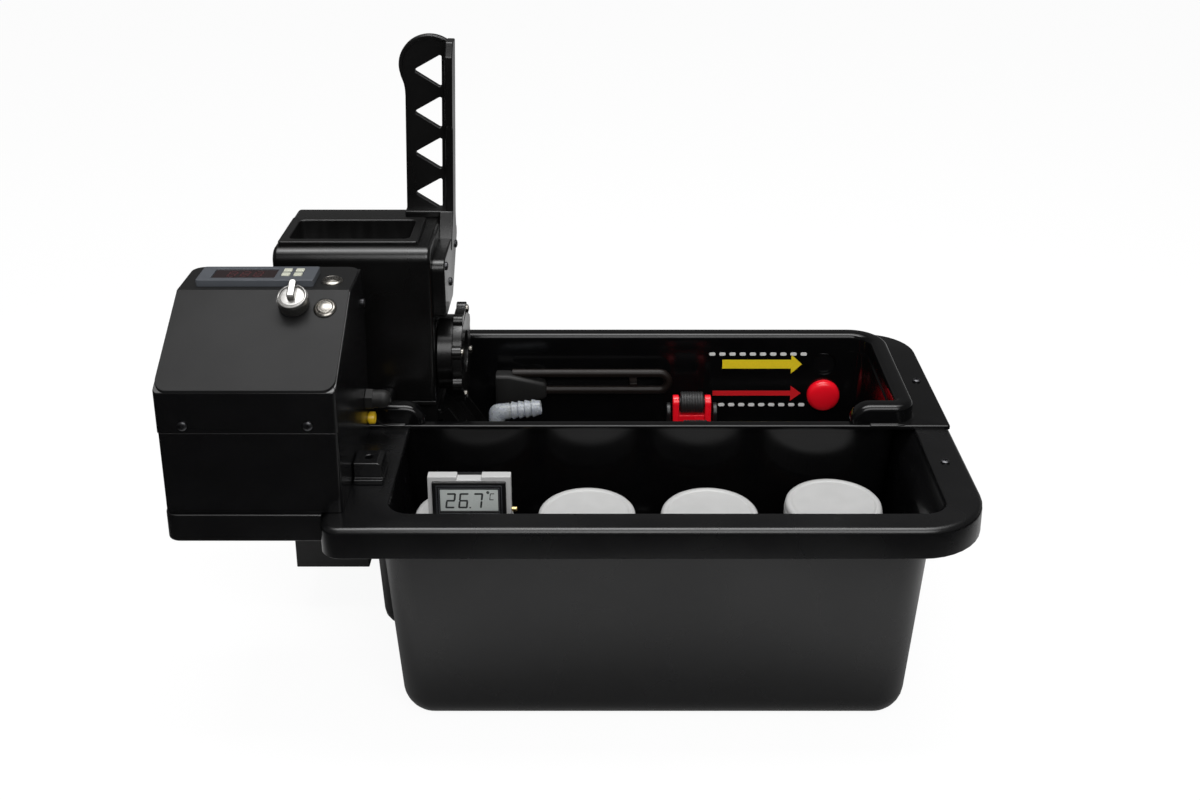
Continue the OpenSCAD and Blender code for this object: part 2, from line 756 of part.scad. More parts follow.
module level_marks() {
    y1 = trough_y1;
    arrow_x1 = level_x - 17.5;
    dot_len = 5;
    dot_h = 2.6;
    color("white")
    along_y(y1 - mark_t, y1) {
        translate([arrow_x1 - arrow_len, level_z1]) arrow(arrow_len, 7.4, 16, 8.4);
        translate([arrow_x1 - arrow_len - 7, level_z2 + 1]) arrow(arrow_len + 7, 4, 12.8, 8);
        for (row = [[level_z1 + 7.3 + dot_h / 2, 10, arrow_len + 9], [level_z2 - 9, 9, arrow_len + 1]]) {
            for (i = [0:row[1] - 1]) {
                translate([arrow_x1 + 1 - row[2] + i * row[2] / (row[1] - 1), row[0]]) {
                    square([dot_len - dot_h, dot_h], center = true);
                    for (s = [-1, 1]) translate([s * (dot_len - dot_h) / 2, 0]) circle(dot_h / 2, $fn = 24);
                }
            }
        }
    }
}

module drain_plug() {
    dome_r = 40;
    color("#c81418") {
        rod_y(trough_y1 - 0.2, trough_y1 + trough_wall + 3, level_x, level_z2, level_hole_r - seat_gap);
        intersection() {
            rod_y(trough_y1 - seat_gap - plug_head_t, trough_y1 - seat_gap, level_x, level_z2, plug_head_r);
            translate([level_x, trough_y1 - seat_gap - plug_head_t + dome_r, level_z2]) sphere(dome_r, $fn = 96);
        }
    }
}

module bottle_rails() {
    color(BLACK)
    for (pair = [0, 1]) {
        xa = rail_screw_x[2 * pair] - 9;
        xb = rail_screw_x[2 * pair + 1] + 9;
        difference() {
            along_x(xa, xb) {
                polygon([
                    [front_wall_y(rail_z - rail_h / 2) + tub_wall - 0.1, rail_z - rail_h / 2],
                    [front_wall_y(rail_z) + tub_wall + rail_t, rail_z - rail_h / 2],
                    [front_wall_y(rail_z) + tub_wall + rail_t, rail_z + rail_h / 2],
                    [front_wall_y(rail_z + rail_h / 2) + tub_wall - 0.1, rail_z + rail_h / 2]
                ]);
            }
            front_screw_places() translate([0, 0, -tub_wall - 5.5]) cylinder(h = 20, r = screw_hole_r);
        }
    }
}

module fixing_screws() {
    color("#2b2b2d") {
        front_screw_places() pan_screw(tub_wall + 4.5);
        for (p = trough_screws) translate([p[0], p[1], trough_top]) pan_screw(10);
        translate([flange_screw[0], flange_screw[1], tub_h]) pan_screw(8);
        for (x = [box_x0 + 16.5, box_x1 - 18]) {
            translate([x, box_y0, box_seam + 5.5]) rotate([90, 0, 0]) pan_screw(6);
        }
        translate([box_x1, box_y1 - 6.5, box_top_z - 25]) rotate([0, 90, 0]) pan_screw(6);
        for (y = [box_y0 + 25, box_y1 - 25]) {
            translate([x_left + flange_t, y, z_skirt + 8]) rotate([0, 90, 0]) pan_screw(7);
        }
    }
}

// The control box

module box_platform() {
    t = 3;
    x1 = x_left;
    color(BLACK)
    difference() {
        translate([0, 0, tub_h - platform_h]) {
            linear_extrude(platform_h) rounded_plan(box_x0 - 1, x1, box_y0 - 2, box_y1, [platform_r, 1, 1, platform_r]);
        }
        translate([0, 0, tub_h - platform_h - cut]) {
            linear_extrude(platform_h + cut - t) {
                rounded_plan(box_x0 - 1 + t, x1 - t, box_y0 - 2 + t, box_y1 - t, [platform_r - t, 1, 1, platform_r - t]);
            }
        }
        for (y = [box_y0 + 25, box_y1 - 25]) rod_x(x1 - t - cut, x1 + cut, y, z_skirt + 8, screw_hole_r);
        rod_z(tub_h - t - cut, tub_h + cut, box_x0 + 30, (box_y0 + box_y1) / 2, 6);
    }
}

// Where a line at a depth top_d below the panel starts, d behind the front, and where it bends
function panel_start(d, top_d) = [box_y0 + d, box_front_z + d * tan(slope_a) - top_d / cos(slope_a)];
function panel_bend(top_d) = [slope_y1 + top_d * tan(slope_a / 2), box_top_z - top_d];

// Side outline of the box, drawn in by d, its top by top_d, and cut off below z0
module box_profile(z0, d, top_d) {
    polygon([
        [box_y0 + d, z0], panel_start(d, top_d), panel_bend(top_d), [flat_y1 - d * 0.6, box_top_z - top_d],
        [box_y1 - d, back_top_z - top_d], [box_y1 - d, z0]
    ]);
}

module box_corners(r) {
    translate([0, 0, tub_h - cut]) linear_extrude(box_top_h + 2 * cut) rounded_plan(box_x0, box_x1, box_y0, box_y1, [r, r, r, r]);
}

module box_lower_shell() {
    t = box_wall;
    inset = 0.6;
    color("#111113")
    difference() {
        rounded_block(box_x0 + inset, box_x1 - inset, box_y0 + inset, box_y1 - inset, tub_h, box_seam, 2.4);
        rounded_block(box_x0 + inset + t, box_x1 - inset - t, box_y0 + inset + t, box_y1 - inset - t, tub_h + t, box_seam + cut, 1);
        // Mains inlet in the left side, gland and fuse in the right side
        block(box_x0 - cut, box_x0 + 5, inlet_y - 13.5, inlet_y + 13.5, inlet_z - 9.5, inlet_z + 9.5);
        rod_x(box_x1 - 5, box_x1 + cut, gland_y, gland_z, 5);
        rod_x(box_x1 - 5, box_x1 + cut, fuse_y, fuse_z, 3.5);
        rod_z(tub_h - cut, tub_h + t + cut, box_x0 + 30, (box_y0 + box_y1) / 2, 6);
    }
}

module box_upper_cover() {
    t = box_wall;
    color(BLACK)
    difference() {
        intersection() {
            along_x(box_x0, box_x1) box_profile(box_seam, 0, panel_t);
            box_corners(3);
        }
        along_x(box_x0 + t, box_x1 - t) box_profile(box_seam - cut, t, t + panel_t);
        panel_holes(cut);
        for (x = [box_x0 + 16.5, box_x1 - 18]) {
            rod_y(box_y0 - cut, box_y0 + t + cut, x, box_seam + 5.5, screw_hole_r);
        }
        rod_x(box_x1 - t - cut, box_x1 + cut, box_y1 - 6.5, box_top_z - 25, screw_hole_r);
    }
}

// Holes for the controller, the buttons and the selector, through sheet and cover
module panel_holes(past) {
    depth = box_wall + panel_t + 5;
    at_slope(knob_x, knob_u) translate([0, 0, -depth]) cylinder(h = depth + past, r = 4.5);
    at_slope(lower_button_x, lower_button_u) translate([0, 0, -depth]) cylinder(h = depth + past, r = button_bezel_r - 1);
    at_flat(upper_button_x, upper_button_u) translate([0, 0, -depth]) cylinder(h = depth + past, r = button_bezel_r - 1);
    block(
        bezel_x0 + 3, bezel_x0 + bezel_w - 3, slope_y1 + bezel_u0 + 1.5, slope_y1 + bezel_u0 + bezel_d - 1.5,
        box_top_z - depth, box_top_z + past
    );
}

module box_panel() {
    r = panel_corner_r;
    color("#3a3b3d")
    difference() {
        intersection() {
            along_x(box_x0 + 0.5, box_x1 - 0.5) {
                polygon([
                    panel_start(0, panel_t), panel_start(0, 0), panel_bend(0), [flat_y1, box_top_z],
                    [flat_y1, box_top_z - panel_t], panel_bend(panel_t)
                ]);
            }
            translate([0, 0, tub_h]) {
                linear_extrude(box_top_h + cut) {
                    rounded_plan(box_x0 + 0.5, box_x1 - 0.5, box_y0, flat_y1, [r, r, r, r]);
                }
            }
        }
        panel_holes(cut);
    }
}

module box_clamp() {
    cx = box_x1;
    cy = box_y0 + 46;
    color(BLACK)
    difference() {
        union() {
            block(cx, cx + 19, cy - 12, cy + 12, tub_h, tub_h + 3.5);
            block(cx, cx + 14.5, cy - 9, cy + 9, tub_h, tub_h + 14);
            block(cx, cx + 18.5, cy - 9, cy + 9, tub_h, tub_h + 10);
            rod_y(cy - 9, cy + 9, cx + 14.5, tub_h + 10, 4);
        }
        rod_z(tub_h + 6, tub_h + 15, cx + 9, cy, 2.5);
    }
}

module controller_case() {
    x0 = bezel_x0;
    x1 = bezel_x0 + bezel_w;
    y0 = slope_y1 + bezel_u0;
    y1 = y0 + bezel_d;
    z = box_top_z;
    floor_z = z + bezel_h - 2.6;
    color("#4d565e")
    difference() {
        union() {
            rounded_block(x0, x1, y0, y1, z, z + bezel_h, 1.6);
            block(x0 + 3.3, x1 - 3.3, y0 + 1.8, y1 - 1.8, z - 34, z + 1);
        }
        block(window_x0, window_x0 + window_w, y0 + (bezel_d - window_d) / 2, y0 + (bezel_d + window_d) / 2, floor_z, z + 20);
        for (i = [0:3]) controller_key_place(i) {
            translate([-key_size[0] / 2 - fit_gap, -key_size[1] / 2 - fit_gap, -2.6]) {
                cube([key_size[0] + 2 * fit_gap, key_size[1] + 2 * fit_gap, 20]);
            }
        }
    }
}

module controller_window() {
    y0 = slope_y1 + bezel_u0 + (bezel_d - window_d) / 2;
    g = seat_gap;
    z = box_top_z + bezel_h;
    color("#1a0c0e")
    block(window_x0 + g, window_x0 + window_w - g, y0 + g, y0 + window_d - g, z - 2.6, z - 0.6);
}

module controller_key_place(i) {
    x = keys_x0 + key_size[0] / 2 + (i % 2) * key_pitch[0];
    u = bezel_u0 + bezel_d / 2 + 1.6 + (i < 2 ? 0.5 : -0.5) * key_pitch[1];
    at_flat(x, u) translate([0, 0, bezel_h]) children();
}

module controller_key(i) {
    color("#c9c9bd")
    controller_key_place(i) {
        translate([-key_size[0] / 2, -key_size[1] / 2, -2.6 + key_travel + 0.2]) {
            cube([key_size[0], key_size[1], 2.9 - key_travel]);
        }
    }
}

module controller_key_1() { controller_key(0); }
module controller_key_2() { controller_key(1); }
module controller_key_3() { controller_key(2); }
module controller_key_4() { controller_key(3); }

// Threaded sleeve with a flange above the panel and a nut below the cover
module button_bezel() {
    difference() {
        union() {
            cylinder(h = 1.6, r1 = button_bezel_r, r2 = button_bezel_r - 0.8);
            translate([0, 0, -16]) cylinder(h = 16.5, r = button_bezel_r - 1 - seat_gap);
            translate([0, 0, -box_wall - panel_t - 5.4]) cylinder(h = 3, r = button_bezel_r + 1.2, $fn = 6);
        }
        translate([0, 0, -12]) cylinder(h = 20, r = button_r + fit_gap);
    }
}

module button_bezels() {
    color(STEEL) {
        at_slope(lower_button_x, lower_button_u) button_bezel();
        at_flat(upper_button_x, upper_button_u) button_bezel();
    }
}

module push_button() {
    dome_r = 12;
    rise = 2.6;
    intersection() {
        translate([0, 0, -12 + button_travel + 0.4]) cylinder(h = 12 - button_travel - 0.4 + rise, r = button_r);
        translate([0, 0, rise - dome_r]) sphere(dome_r, $fn = 96);
    }
}

module upper_button() { color("#d8dbd6") at_flat(upper_button_x, upper_button_u) push_button(); }
module lower_button() { color("#d8dbd6") at_slope(lower_button_x, lower_button_u) push_button(); }

module selector_switch() {
    below = box_wall + panel_t;
    color("#5a5c60")
    at_slope(knob_x, knob_u) {
        difference() {
            union() {
                translate([0, 0, -below - 8]) cylinder(h = 8, r = 7);
                translate([0, 0, -below - 1]) cylinder(h = below + 1.5, r = 4.5 - seat_gap);
            }
            translate([0, 0, -below - 6.5]) cylinder(h = 20, r = 3 + slip);
        }
    }
}

module selector_knob() {
    color("#c9cacc")
    at_slope(knob_x, knob_u) {
        difference() {
            union() {
                translate([0, 0, 0.8]) cylinder(h = knob_h - 0.8, r = knob_r, $fn = 96);
                translate([-1.9, -1, knob_h - 1]) cube([3.8, 9.5, 6]);
                translate([0, 8.5, knob_h - 1]) cylinder(h = 6, r = 1.9);
            }
            translate([0, 0, 0]) cylinder(h = 1.5, r = 5.5);
            translate([0, 0, knob_h - 0.5]) difference() {
                cylinder(h = 1, r = knob_r - 1);
                cylinder(h = 1, r = knob_r - 1.7);
                translate([-3, -2, -1]) cube([6, 14, 3]);
            }
        }
        translate([0, 0, -box_wall - panel_t - 6]) cylinder(h = box_wall + panel_t + 8, r = 3);
    }
}

module circuit_board() {
    color("#1f5a35") {
        block(box_x0 + 8, box_x0 + 98, box_y0 + 58, box_y1 - 8, tub_h + 8, tub_h + 9.6);
        for (x = [box_x0 + 13, box_x0 + 93], y = [box_y0 + 63, box_y1 - 13]) {
            rod_z(tub_h + box_wall, tub_h + 8.5, x, y, 3);
        }
        block(box_x0 + 60, box_x0 + 74, box_y0 + 66, box_y0 + 80, tub_h + 9, tub_h + 20);
    }
}

module power_supply() {
    color("#a8abad") {
        block(box_x0 + 10, box_x0 + 95, box_y0 + 8, box_y0 + 52, tub_h + box_wall, tub_h + 32);
        block(box_x0 + 10, box_x0 + 14, box_y0 + 8, box_y0 + 52, tub_h + 31, tub_h + 36);
    }
}

module power_inlet() {
    color(BLACK)
    difference() {
        union() {
            block(box_x0 - 2.4, box_x0 + 0.6, inlet_y - 24, inlet_y + 24, inlet_z - 12, inlet_z + 12);
            block(box_x0, box_x0 + 24, inlet_y - 13.2, inlet_y + 13.2, inlet_z - 9.2, inlet_z + 9.2);
        }
        block(box_x0 - 2.4 - cut, box_x0 + 16, inlet_y - 12, inlet_y + 12, inlet_z - 8, inlet_z + 8);
    }
}

module box_gland() {
    x = box_x1 - 0.6;
    color(BLACK)
    difference() {
        union() {
            rod_x(x, x + 5, gland_y, gland_z, 7.5, $fn = 6);
            rod_x(x + 4, x + 11, gland_y, gland_z, 6.2);
            translate([x + 11, gland_y, gland_z]) sphere(6.2, $fn = 48);
            rod_x(x - 7, x + 1, gland_y, gland_z, 4.9);
        }
        rod_x(x - 8, x + 30, gland_y, gland_z, 2.5);
    }
}

module fuse_cap() {
    x = box_x1 - 0.6;
    color("#d8b400") {
        rod_x(x, x + 5, fuse_y, fuse_z, 4.5);
        rod_x(x - 14, x + 1, fuse_y, fuse_z, 3.4);
    }
}

// The drum lift

module lift_base() {
    leg_x1 = x_left - 1;
    inner_x0 = trough_x0 + trough_side_draft + 1;
    inner_y0 = lift_y0 + 7;
    inner_y1 = lift_y1 - 6;
    color(BLACK)
    difference() {
        union() {
            block(lift_x0, lift_x1, lift_y0, lift_y1, trough_top, base_top);
            block(lift_x0, leg_x1, lift_y0, lift_y1, tub_h - outer_leg_h, trough_top + 1);
            block(inner_x0, lift_x1, inner_y0, inner_y1, tub_h - inner_leg_h, trough_top + 1);
            for (y = ear_y) {
                rod_y(y, y + ear_len, pivot_x, pivot_z, knuckle_r);
                block(pivot_x - knuckle_r, pivot_x + knuckle_r, y, y + ear_len, base_top - 1, pivot_z);
            }
        }
        block(lift_x0 + 3, leg_x1 - 3, lift_y0 + 3, lift_y1 - 3, tub_h - outer_leg_h - cut, tub_h - 4);
        block(inner_x0 + 3, lift_x1 - 3, inner_y0 + 3, inner_y1 - 3, tub_h - inner_leg_h - cut, tub_h - 4);
        rod_y(lift_y0 - cut, lift_y1 + cut, pivot_x, pivot_z, pin_r + slip);
    }
}

module hinge_pin() {
    color(STEEL) rod_y(lift_y0 + 1, lift_y1 - 1, pivot_x, pivot_z, pin_r);
}

// Side outline of the housing, drawn in by d, with its rounded front top edge
module housing_profile(d, z0, y1) {
    r = housing_edge_r - d;
    y0 = lift_y0 + d;
    z1 = lift_top - d;
    polygon([[y0, z0], [y0, z1 - r], [y0 + r, z1], [y1, z1], [y1, z0]]);
    translate([y0 + r, z1 - r]) circle(r);
}

// Space that the base's ears need in the knuckle and the wall above it
module ear_notches(grow) {
    for (y = ear_y) {
        rod_y(y - grow, y + ear_len + grow, pivot_x, pivot_z, knuckle_r + 0.6);
        block(pivot_x - knuckle_r - cut, pivot_x + knuckle_r + 0.6, y - grow, y + ear_len + grow, head_z0 - cut, pivot_z);
    }
}

module housing_corner_cut() {
    block(lift_x0 - cut, pivot_x + knuckle_r, lift_y0 - cut, lift_y1 + cut, head_z0 - cut, pivot_z);
}

module lift_housing() {
    t = lift_wall;
    color(BLACK)
    difference() {
        union() {
            difference() {
                along_x(lift_x0, lift_x1) housing_profile(0, head_z0, cover_y0);
                along_x(lift_x0 + t, lift_x1 - t) housing_profile(t, head_z0 - cut, cover_y0 + cut);
                housing_corner_cut();
            }
            rod_y(lift_y0, cover_y0, pivot_x, pivot_z, knuckle_r);
            rod_x(lift_x1 - boss_len, lift_x1 - 1, spindle_y, spindle_z, bearing_r + 4);
            block(bulkhead_x0, bulkhead_x1, motor_y - motor_r + 3, cover_y0, motor_z - 21, motor_z + motor_r);
            block(
                bulkhead_x0, bulkhead_x1, funnel_y1 - funnel_rim_w + funnel_wall + fit_gap, cover_y0,
                motor_z, lift_top - t + 1
            );
            for (p = cover_screws) rod_y(cover_y0 - 9, cover_y0, p[0], p[1], 4);
        }
        ear_notches(0.5);
        rod_y(lift_y0 - cut, cover_y0 + cut, pivot_x, pivot_z, pin_r + slip);
        rod_x(lift_x1 - boss_len - cut, lift_x1 - 3, spindle_y, spindle_z, bearing_r + slip);
        rod_x(lift_x1 - 4, lift_x1 + cut, spindle_y, spindle_z, spindle_r + 2);
        rod_x(bulkhead_x0 - cut, bulkhead_x1 + cut, motor_y, motor_z, 7);
        block(
            funnel_x0 + funnel_rim_w - funnel_wall - fit_gap, funnel_x1 - funnel_rim_w + funnel_wall + fit_gap,
            funnel_y0 + funnel_rim_w - funnel_wall - fit_gap, funnel_y1 - funnel_rim_w + funnel_wall + fit_gap,
            lift_top - t - 2, lift_top + cut
        );
        for (p = cover_screws) rod_y(cover_y0 - 8, cover_y0 + cut, p[0], p[1], screw_hole_r);
        for (p = side_plate_screws) {
            rod_x(lift_x1 - t - cut, lift_x1 + cut, side_plate_y0 + p[0], side_plate_z0 + p[1], screw_hole_r);
        }
    }
}

module lift_back_cover() {
    color(BLACK)
    difference() {
        union() {
            difference() {
                block(lift_x0, lift_x1, cover_y0, lift_y1, head_z0, lift_top);
                housing_corner_cut();
            }
            rod_y(cover_y0, lift_y1, pivot_x, pivot_z, knuckle_r);
        }
        rod_y(cover_y0 - cut, lift_y1 + cut, pivot_x, pivot_z, pin_r + slip);
        for (p = cover_screws) rod_y(cover_y0 - cut, lift_y1 + cut, p[0], p[1], screw_hole_r);
    }
}

module funnel_tray() {
    w = funnel_rim_w;
    t = funnel_wall;
    xi0 = funnel_x0 + w;
    xi1 = funnel_x1 - w;
    yi0 = funnel_y0 + w;
    yi1 = funnel_y1 - w;
    z_bowl = funnel_top - funnel_depth;
    color("#1b1b1e")
    difference() {
        union() {
            block(funnel_x0, funnel_x1, funnel_y0, funnel_y1, lift_top, funnel_top);
            hull() {
                rounded_block(xi0 - t, xi1 + t, yi0 - t, yi1 + t, funnel_top - 22, lift_top + 0.5, 4);
                rod_z(z_bowl - 6, z_bowl - 5, spout_x, spindle_y, spout_r);
            }
            rod_z(spindle_z, z_bowl, spout_x, spindle_y, spout_r);
            rod_x(spout_x, gear_x0 + 4, spindle_y, spindle_z, spindle_bore_r - 1);
            translate([spout_x, spindle_y, spindle_z]) sphere(spout_r);
        }
        hull() {
            rounded_block(xi0, xi1, yi0, yi1, funnel_top - 20, funnel_top + cut, 3);
            rod_z(z_bowl - 3, z_bowl - 2, spout_x, spindle_y, spout_bore_r);
        }
        rod_z(spindle_z, z_bowl, spout_x, spindle_y, spout_bore_r);
        rod_x(spout_x, gear_x0 + 4 + cut, spindle_y, spindle_z, spindle_bore_r - 2.5);
    }
}

module lift_lever() {
    disc_z = lever_top - paddle_r - 1;
    disc_x = rib_x0 - 12;
    sp_y0 = side_plate_y0;
    rib_y0 = web_y1 - lever_rib_d;
    step_z = lift_top + 68;
    hole_x = rib_x0 - 3.8;
    color("#151517")
    difference() {
        union() {
            translate([rib_x0, 0, lift_top]) rotate([0, lever_lean, 0]) translate([-rib_x0, 0, -lift_top]) {
                difference() {
                    union() {
                        block(web_x0, rib_x0 + 1, web_y0, web_y1, lift_top + 1, disc_z);
                        intersection() {
                            rod_y(web_y0, web_y1, disc_x, disc_z, paddle_r);
                            block(disc_x - paddle_r - cut, lever_x1, web_y0, web_y1, disc_z - paddle_r, lever_top);
                        }
                        along_x(rib_x0, lever_x1) {
                            polygon([
                                [rib_y0 + 3, lift_top - 12], [rib_y0 + 3, step_z], [rib_y0, step_z + 3], [rib_y0, lever_top - 14],
                                [rib_y0 + 6, lever_top - 4], [web_y1, lever_top - 4], [web_y1, lift_top - 24]
                            ]);
                        }
                    }
                    for (i = [0:3]) {
                        z1 = lever_top - 15 - i * cutout_pitch;
                        along_y(web_y0 - cut, web_y1 + cut) {
                            polygon([[hole_x, z1], [hole_x, z1 - cutout_h], [hole_x - cutout_w, z1 - cutout_h / 2]]);
                        }
                    }
                }
            }
            block(web_x0, rib_x0 + 1, web_y0 - 9, web_y1, lift_top, lift_top + 5);
            along_x(lift_x1, lift_x1 + side_plate_t) {
                difference() {
                    rounded_plan(sp_y0, side_plate_y1, side_plate_z0, side_plate_z1, [5, 5, 5, 8]);
                    polygon([[sp_y0 + 43, side_plate_z0 - 1], [side_plate_y1 + 1, side_plate_z0 + 36], [side_plate_y1 + 1, side_plate_z0 - 1]]);
                }
            }
            along_x(lift_x1, lever_x1) {
                polygon([
                    [rib_y0 - 14, side_plate_z1 - 8], [rib_y0 + 3, lift_top + 6],
                    [web_y1, lift_top + 6], [web_y1, side_plate_z1 - 8]
                ]);
            }
        }
        for (p = side_plate_screws) {
            rod_x(lift_x1 - cut, lift_x1 + 20, sp_y0 + p[0], side_plate_z0 + p[1], screw_hole_r);
            rod_x(lift_x1 + side_plate_t, lift_x1 + 20, sp_y0 + p[0], side_plate_z0 + p[1], screw_head_r + 0.4);
        }
    }
}

module lift_screws() {
    color(STEEL) {
        for (p = side_plate_screws) {
            translate([lift_x1 + side_plate_t, side_plate_y0 + p[0], side_plate_z0 + p[1]]) rotate([0, 90, 0]) pan_screw(side_plate_t + 2.5);
        }
        for (p = cover_screws) translate([p[0], lift_y1, p[1]]) rotate([-90, 0, 0]) pan_screw(9);
    }
}

module gear_motor() {
    color("#8f9296")
    difference() {
        union() {
            rod_x(bulkhead_x0 - 26, bulkhead_x0, motor_y, motor_z, motor_r);
            rod_x(bulkhead_x0 - 50, bulkhead_x0 - 25, motor_y, motor_z, motor_r - 2);
            rod_x(bulkhead_x0 - 53, bulkhead_x0 - 49, motor_y, motor_z, 5);
        }
        rod_x(bulkhead_x0 - 8, bulkhead_x0 + cut, motor_y, motor_z, 3 + slip);
    }
}

module motor_pinion() {
    color(STEEL) {
        translate([gear_x0, motor_y, motor_z]) rotate([90, 0, 90]) linear_extrude(gear_w) {
            rotate(180 + motor_angle + 180 / pinion_teeth) gear_outline(pinion_teeth, gear_module);
        }
        rod_x(bulkhead_x0 - 7.5, gear_x0 + gear_w + 0.5, motor_y, motor_z, 3);
    }
}

module spindle() {
    color("#b08a3c")
    difference() {
        union() {
            translate([gear_x0, spindle_y, spindle_z]) rotate([90, 0, 90]) linear_extrude(gear_w) {
                rotate(motor_angle) gear_outline(gear_teeth, gear_module);
            }
            rod_x(gear_x0, hub_x1 - 4, spindle_y, spindle_z, spindle_r);
        }
        rod_x(gear_x0 - cut, hub_x1, spindle_y, spindle_z, spindle_bore_r);
    }
}

module spindle_bearings() {
    color(STEEL)
    for (x = [lift_x1 - boss_len + 0.5, lift_x1 - 3.2 - bearing_w]) {
        difference() {
            rod_x(x, x + bearing_w, spindle_y, spindle_z, bearing_r);
            rod_x(x - cut, x + bearing_w + cut, spindle_y, spindle_z, spindle_r + slip);
        }
    }
}

module drum_coupling() {
    lug_r = 5;
    lug_at = ring_r - lug_r;
    color("#121214")
    difference() {
        union() {
            rod_x(hub_x0, hub_x1 + 1, spindle_y, spindle_z, hub_r);
            rod_x(hub_x1, ring_x1, spindle_y, spindle_z, ring_r - 4);
            for (k = [0:7]) {
                a = 22.5 + k * 45;
                rod_x(hub_x1, ring_x1, spindle_y + lug_at * cos(a), spindle_z + lug_at * sin(a), lug_r);
            }
        }
        rod_x(hub_x0 - cut, hub_x1 - 3.9, spindle_y, spindle_z, spindle_r + 0.01);
        rod_x(hub_x1 - 5, ring_x1 + cut, spindle_y, spindle_z, spindle_bore_r);
        rod_x(ring_x1 - socket_len, ring_x1 + cut, spindle_y, spindle_z, socket_r);
        coupling_screw_places() rod_x(-8, cut, 0, 0, screw_hole_r);
    }
}

module coupling_screw_places() {
    for (a = [67.5, 157.5, 247.5, 337.5]) {
        translate([ring_x1, spindle_y + (ring_r - 5) * cos(a), spindle_z + (ring_r - 5) * sin(a)]) children();
    }
}

module coupling_screws() {
    color(STEEL) coupling_screw_places() rotate([0, 90, 0]) pan_screw(6);
}

module drip_chute() {
    a = 57;
    len = 43;
    w = 50;
    t = 2.5;
    y0 = spindle_y - w / 2 - 1.5;
    color("#131315") {
        translate([lift_x1, y0, tub_h - 3]) rotate([0, a, 0]) {
            translate([4, 0, -t]) cube([len, w, t]);
            for (y = [0, w - t]) translate([4, y, -t]) cube([len, t, 9]);
        }
        block(lift_x1, lift_x1 + 2.5, y0, y0 + w, tub_h - 12, tub_h - 4);
    }
}

// Fittings in the trough

module circulation_pump() {
    z1 = trough_z0 + pump_size[2];
    color("#1c1c1f")
    difference() {
        union() {
            rounded_block(pump_x0, pump_x0 + pump_size[0], pump_y0, pump_y0 + pump_size[1], trough_z0, z1, 5);
            rod_z(z1 - cut, z1 + 8, elbow_x, spindle_y, elbow_bore_r - seat_gap);
            rod_x(pump_x0 + pump_size[0] - cut, pump_x0 + pump_size[0] + 4, pump_y0 + pump_size[1] / 2, trough_z0 + 14, 10);
        }
        rod_x(pump_x0 + pump_size[0] - 6, pump_x0 + pump_size[0] + 5, pump_y0 + pump_size[1] / 2, trough_z0 + 14, 8);
        rod_z(z1 - 8, z1 + 9, elbow_x, spindle_y, 2.6);
    }
}

module pump_elbow() {
    z1 = trough_z0 + pump_size[2];
    barb_len = 30;
    color([0.88, 0.9, 0.93, 0.8])
    difference() {
        union() {
            rod_z(z1 + 0.2, elbow_z, elbow_x, spindle_y, elbow_r);
            translate([elbow_x, spindle_y, elbow_z]) sphere(elbow_r);
            at_barb() {
                cylinder(h = barb_len, r = elbow_r - 0.8);
                for (i = [0:3]) translate([0, 0, 9 + i * 5.2]) cylinder(h = 5, r1 = elbow_r + 0.6, r2 = elbow_r - 0.7);
            }
        }
        rod_z(z1 - cut, elbow_z, elbow_x, spindle_y, elbow_bore_r);
        translate([elbow_x, spindle_y, elbow_z]) sphere(elbow_bore_r);
        at_barb() cylinder(h = barb_len + cut, r = elbow_bore_r - 0.6);
    }
}

// The elbow's arm runs off to the right and a little upward
module at_barb() {
    translate([elbow_x, spindle_y, elbow_z]) rotate([0, 83, 0]) children();
}

module water_heater() {
    r = heater_r;
    mid_z = (heater_z1 + heater_z2) / 2;
    bend_r = (heater_z1 - heater_z2) / 2;
    x1 = heater_x0 + heater_len - bend_r;
    color("#2a2422") {
        rod_x(heater_x0, x1, heater_y, heater_z1, r);
        rod_x(heater_x0, x1, heater_y, heater_z2, r);
        translate([x1, heater_y, mid_z]) rotate([90, 0, 0]) rotate([0, 0, -90]) rotate_extrude(angle = 180) translate([bend_r, 0]) circle(r);
        hull() {
            block(heater_x0 - 13, heater_x0 - 3, heater_y - 8, heater_y + 5, heater_z2 - 10, heater_z1 + 1);
            block(heater_x0 + 24, heater_x0 + 26, heater_y - 5, heater_y + 5, heater_z2 - 6, heater_z1 - 7);
        }
        block(heater_x0 - 9, heater_x0 + 9, heater_y, trough_y1, heater_z2 - 4, mid_z + 3);
        block(heater_x0 + 90, heater_x0 + 96, heater_y - 1, trough_y1, heater_z2 + 2, heater_z2 + 6);
    }
}

module roller_carriage() {
    z0 = trough_z0 + 3 + fit_gap;
    hw = carriage_len / 2;
    reach = roller_half_gap + 13;
    color(BLACK) {
        block(roller_x - hw, roller_x + hw, spindle_y - reach, spindle_y + reach, z0, z0 + carriage_t);
        for (side = [-1, 1]) {
            block(
                roller_x - hw, roller_x + hw, spindle_y + side * (rail_gap / 2 + 4) - 1.5, spindle_y + side * (rail_gap / 2 + 4) + 1.5,
                trough_z0 + fit_gap, z0 + 1
            );
            for (sx = [-1, 1]) {
                along_x(roller_x + sx * (yoke_w / 2 + 3) - 1.5, roller_x + sx * (yoke_w / 2 + 3) + 1.5) {
                    translate([spindle_y + side * roller_half_gap, z0]) {
                        difference() {
                            union() {
                                translate([-7, 0]) square([14, roller_z - z0 - 8]);
                                translate([0, roller_z - z0 - 8]) circle(7);
                            }
                            translate([0, roller_z - z0 - 8]) circle(3);
                        }
                    }
                }
            }
        }
    }
}

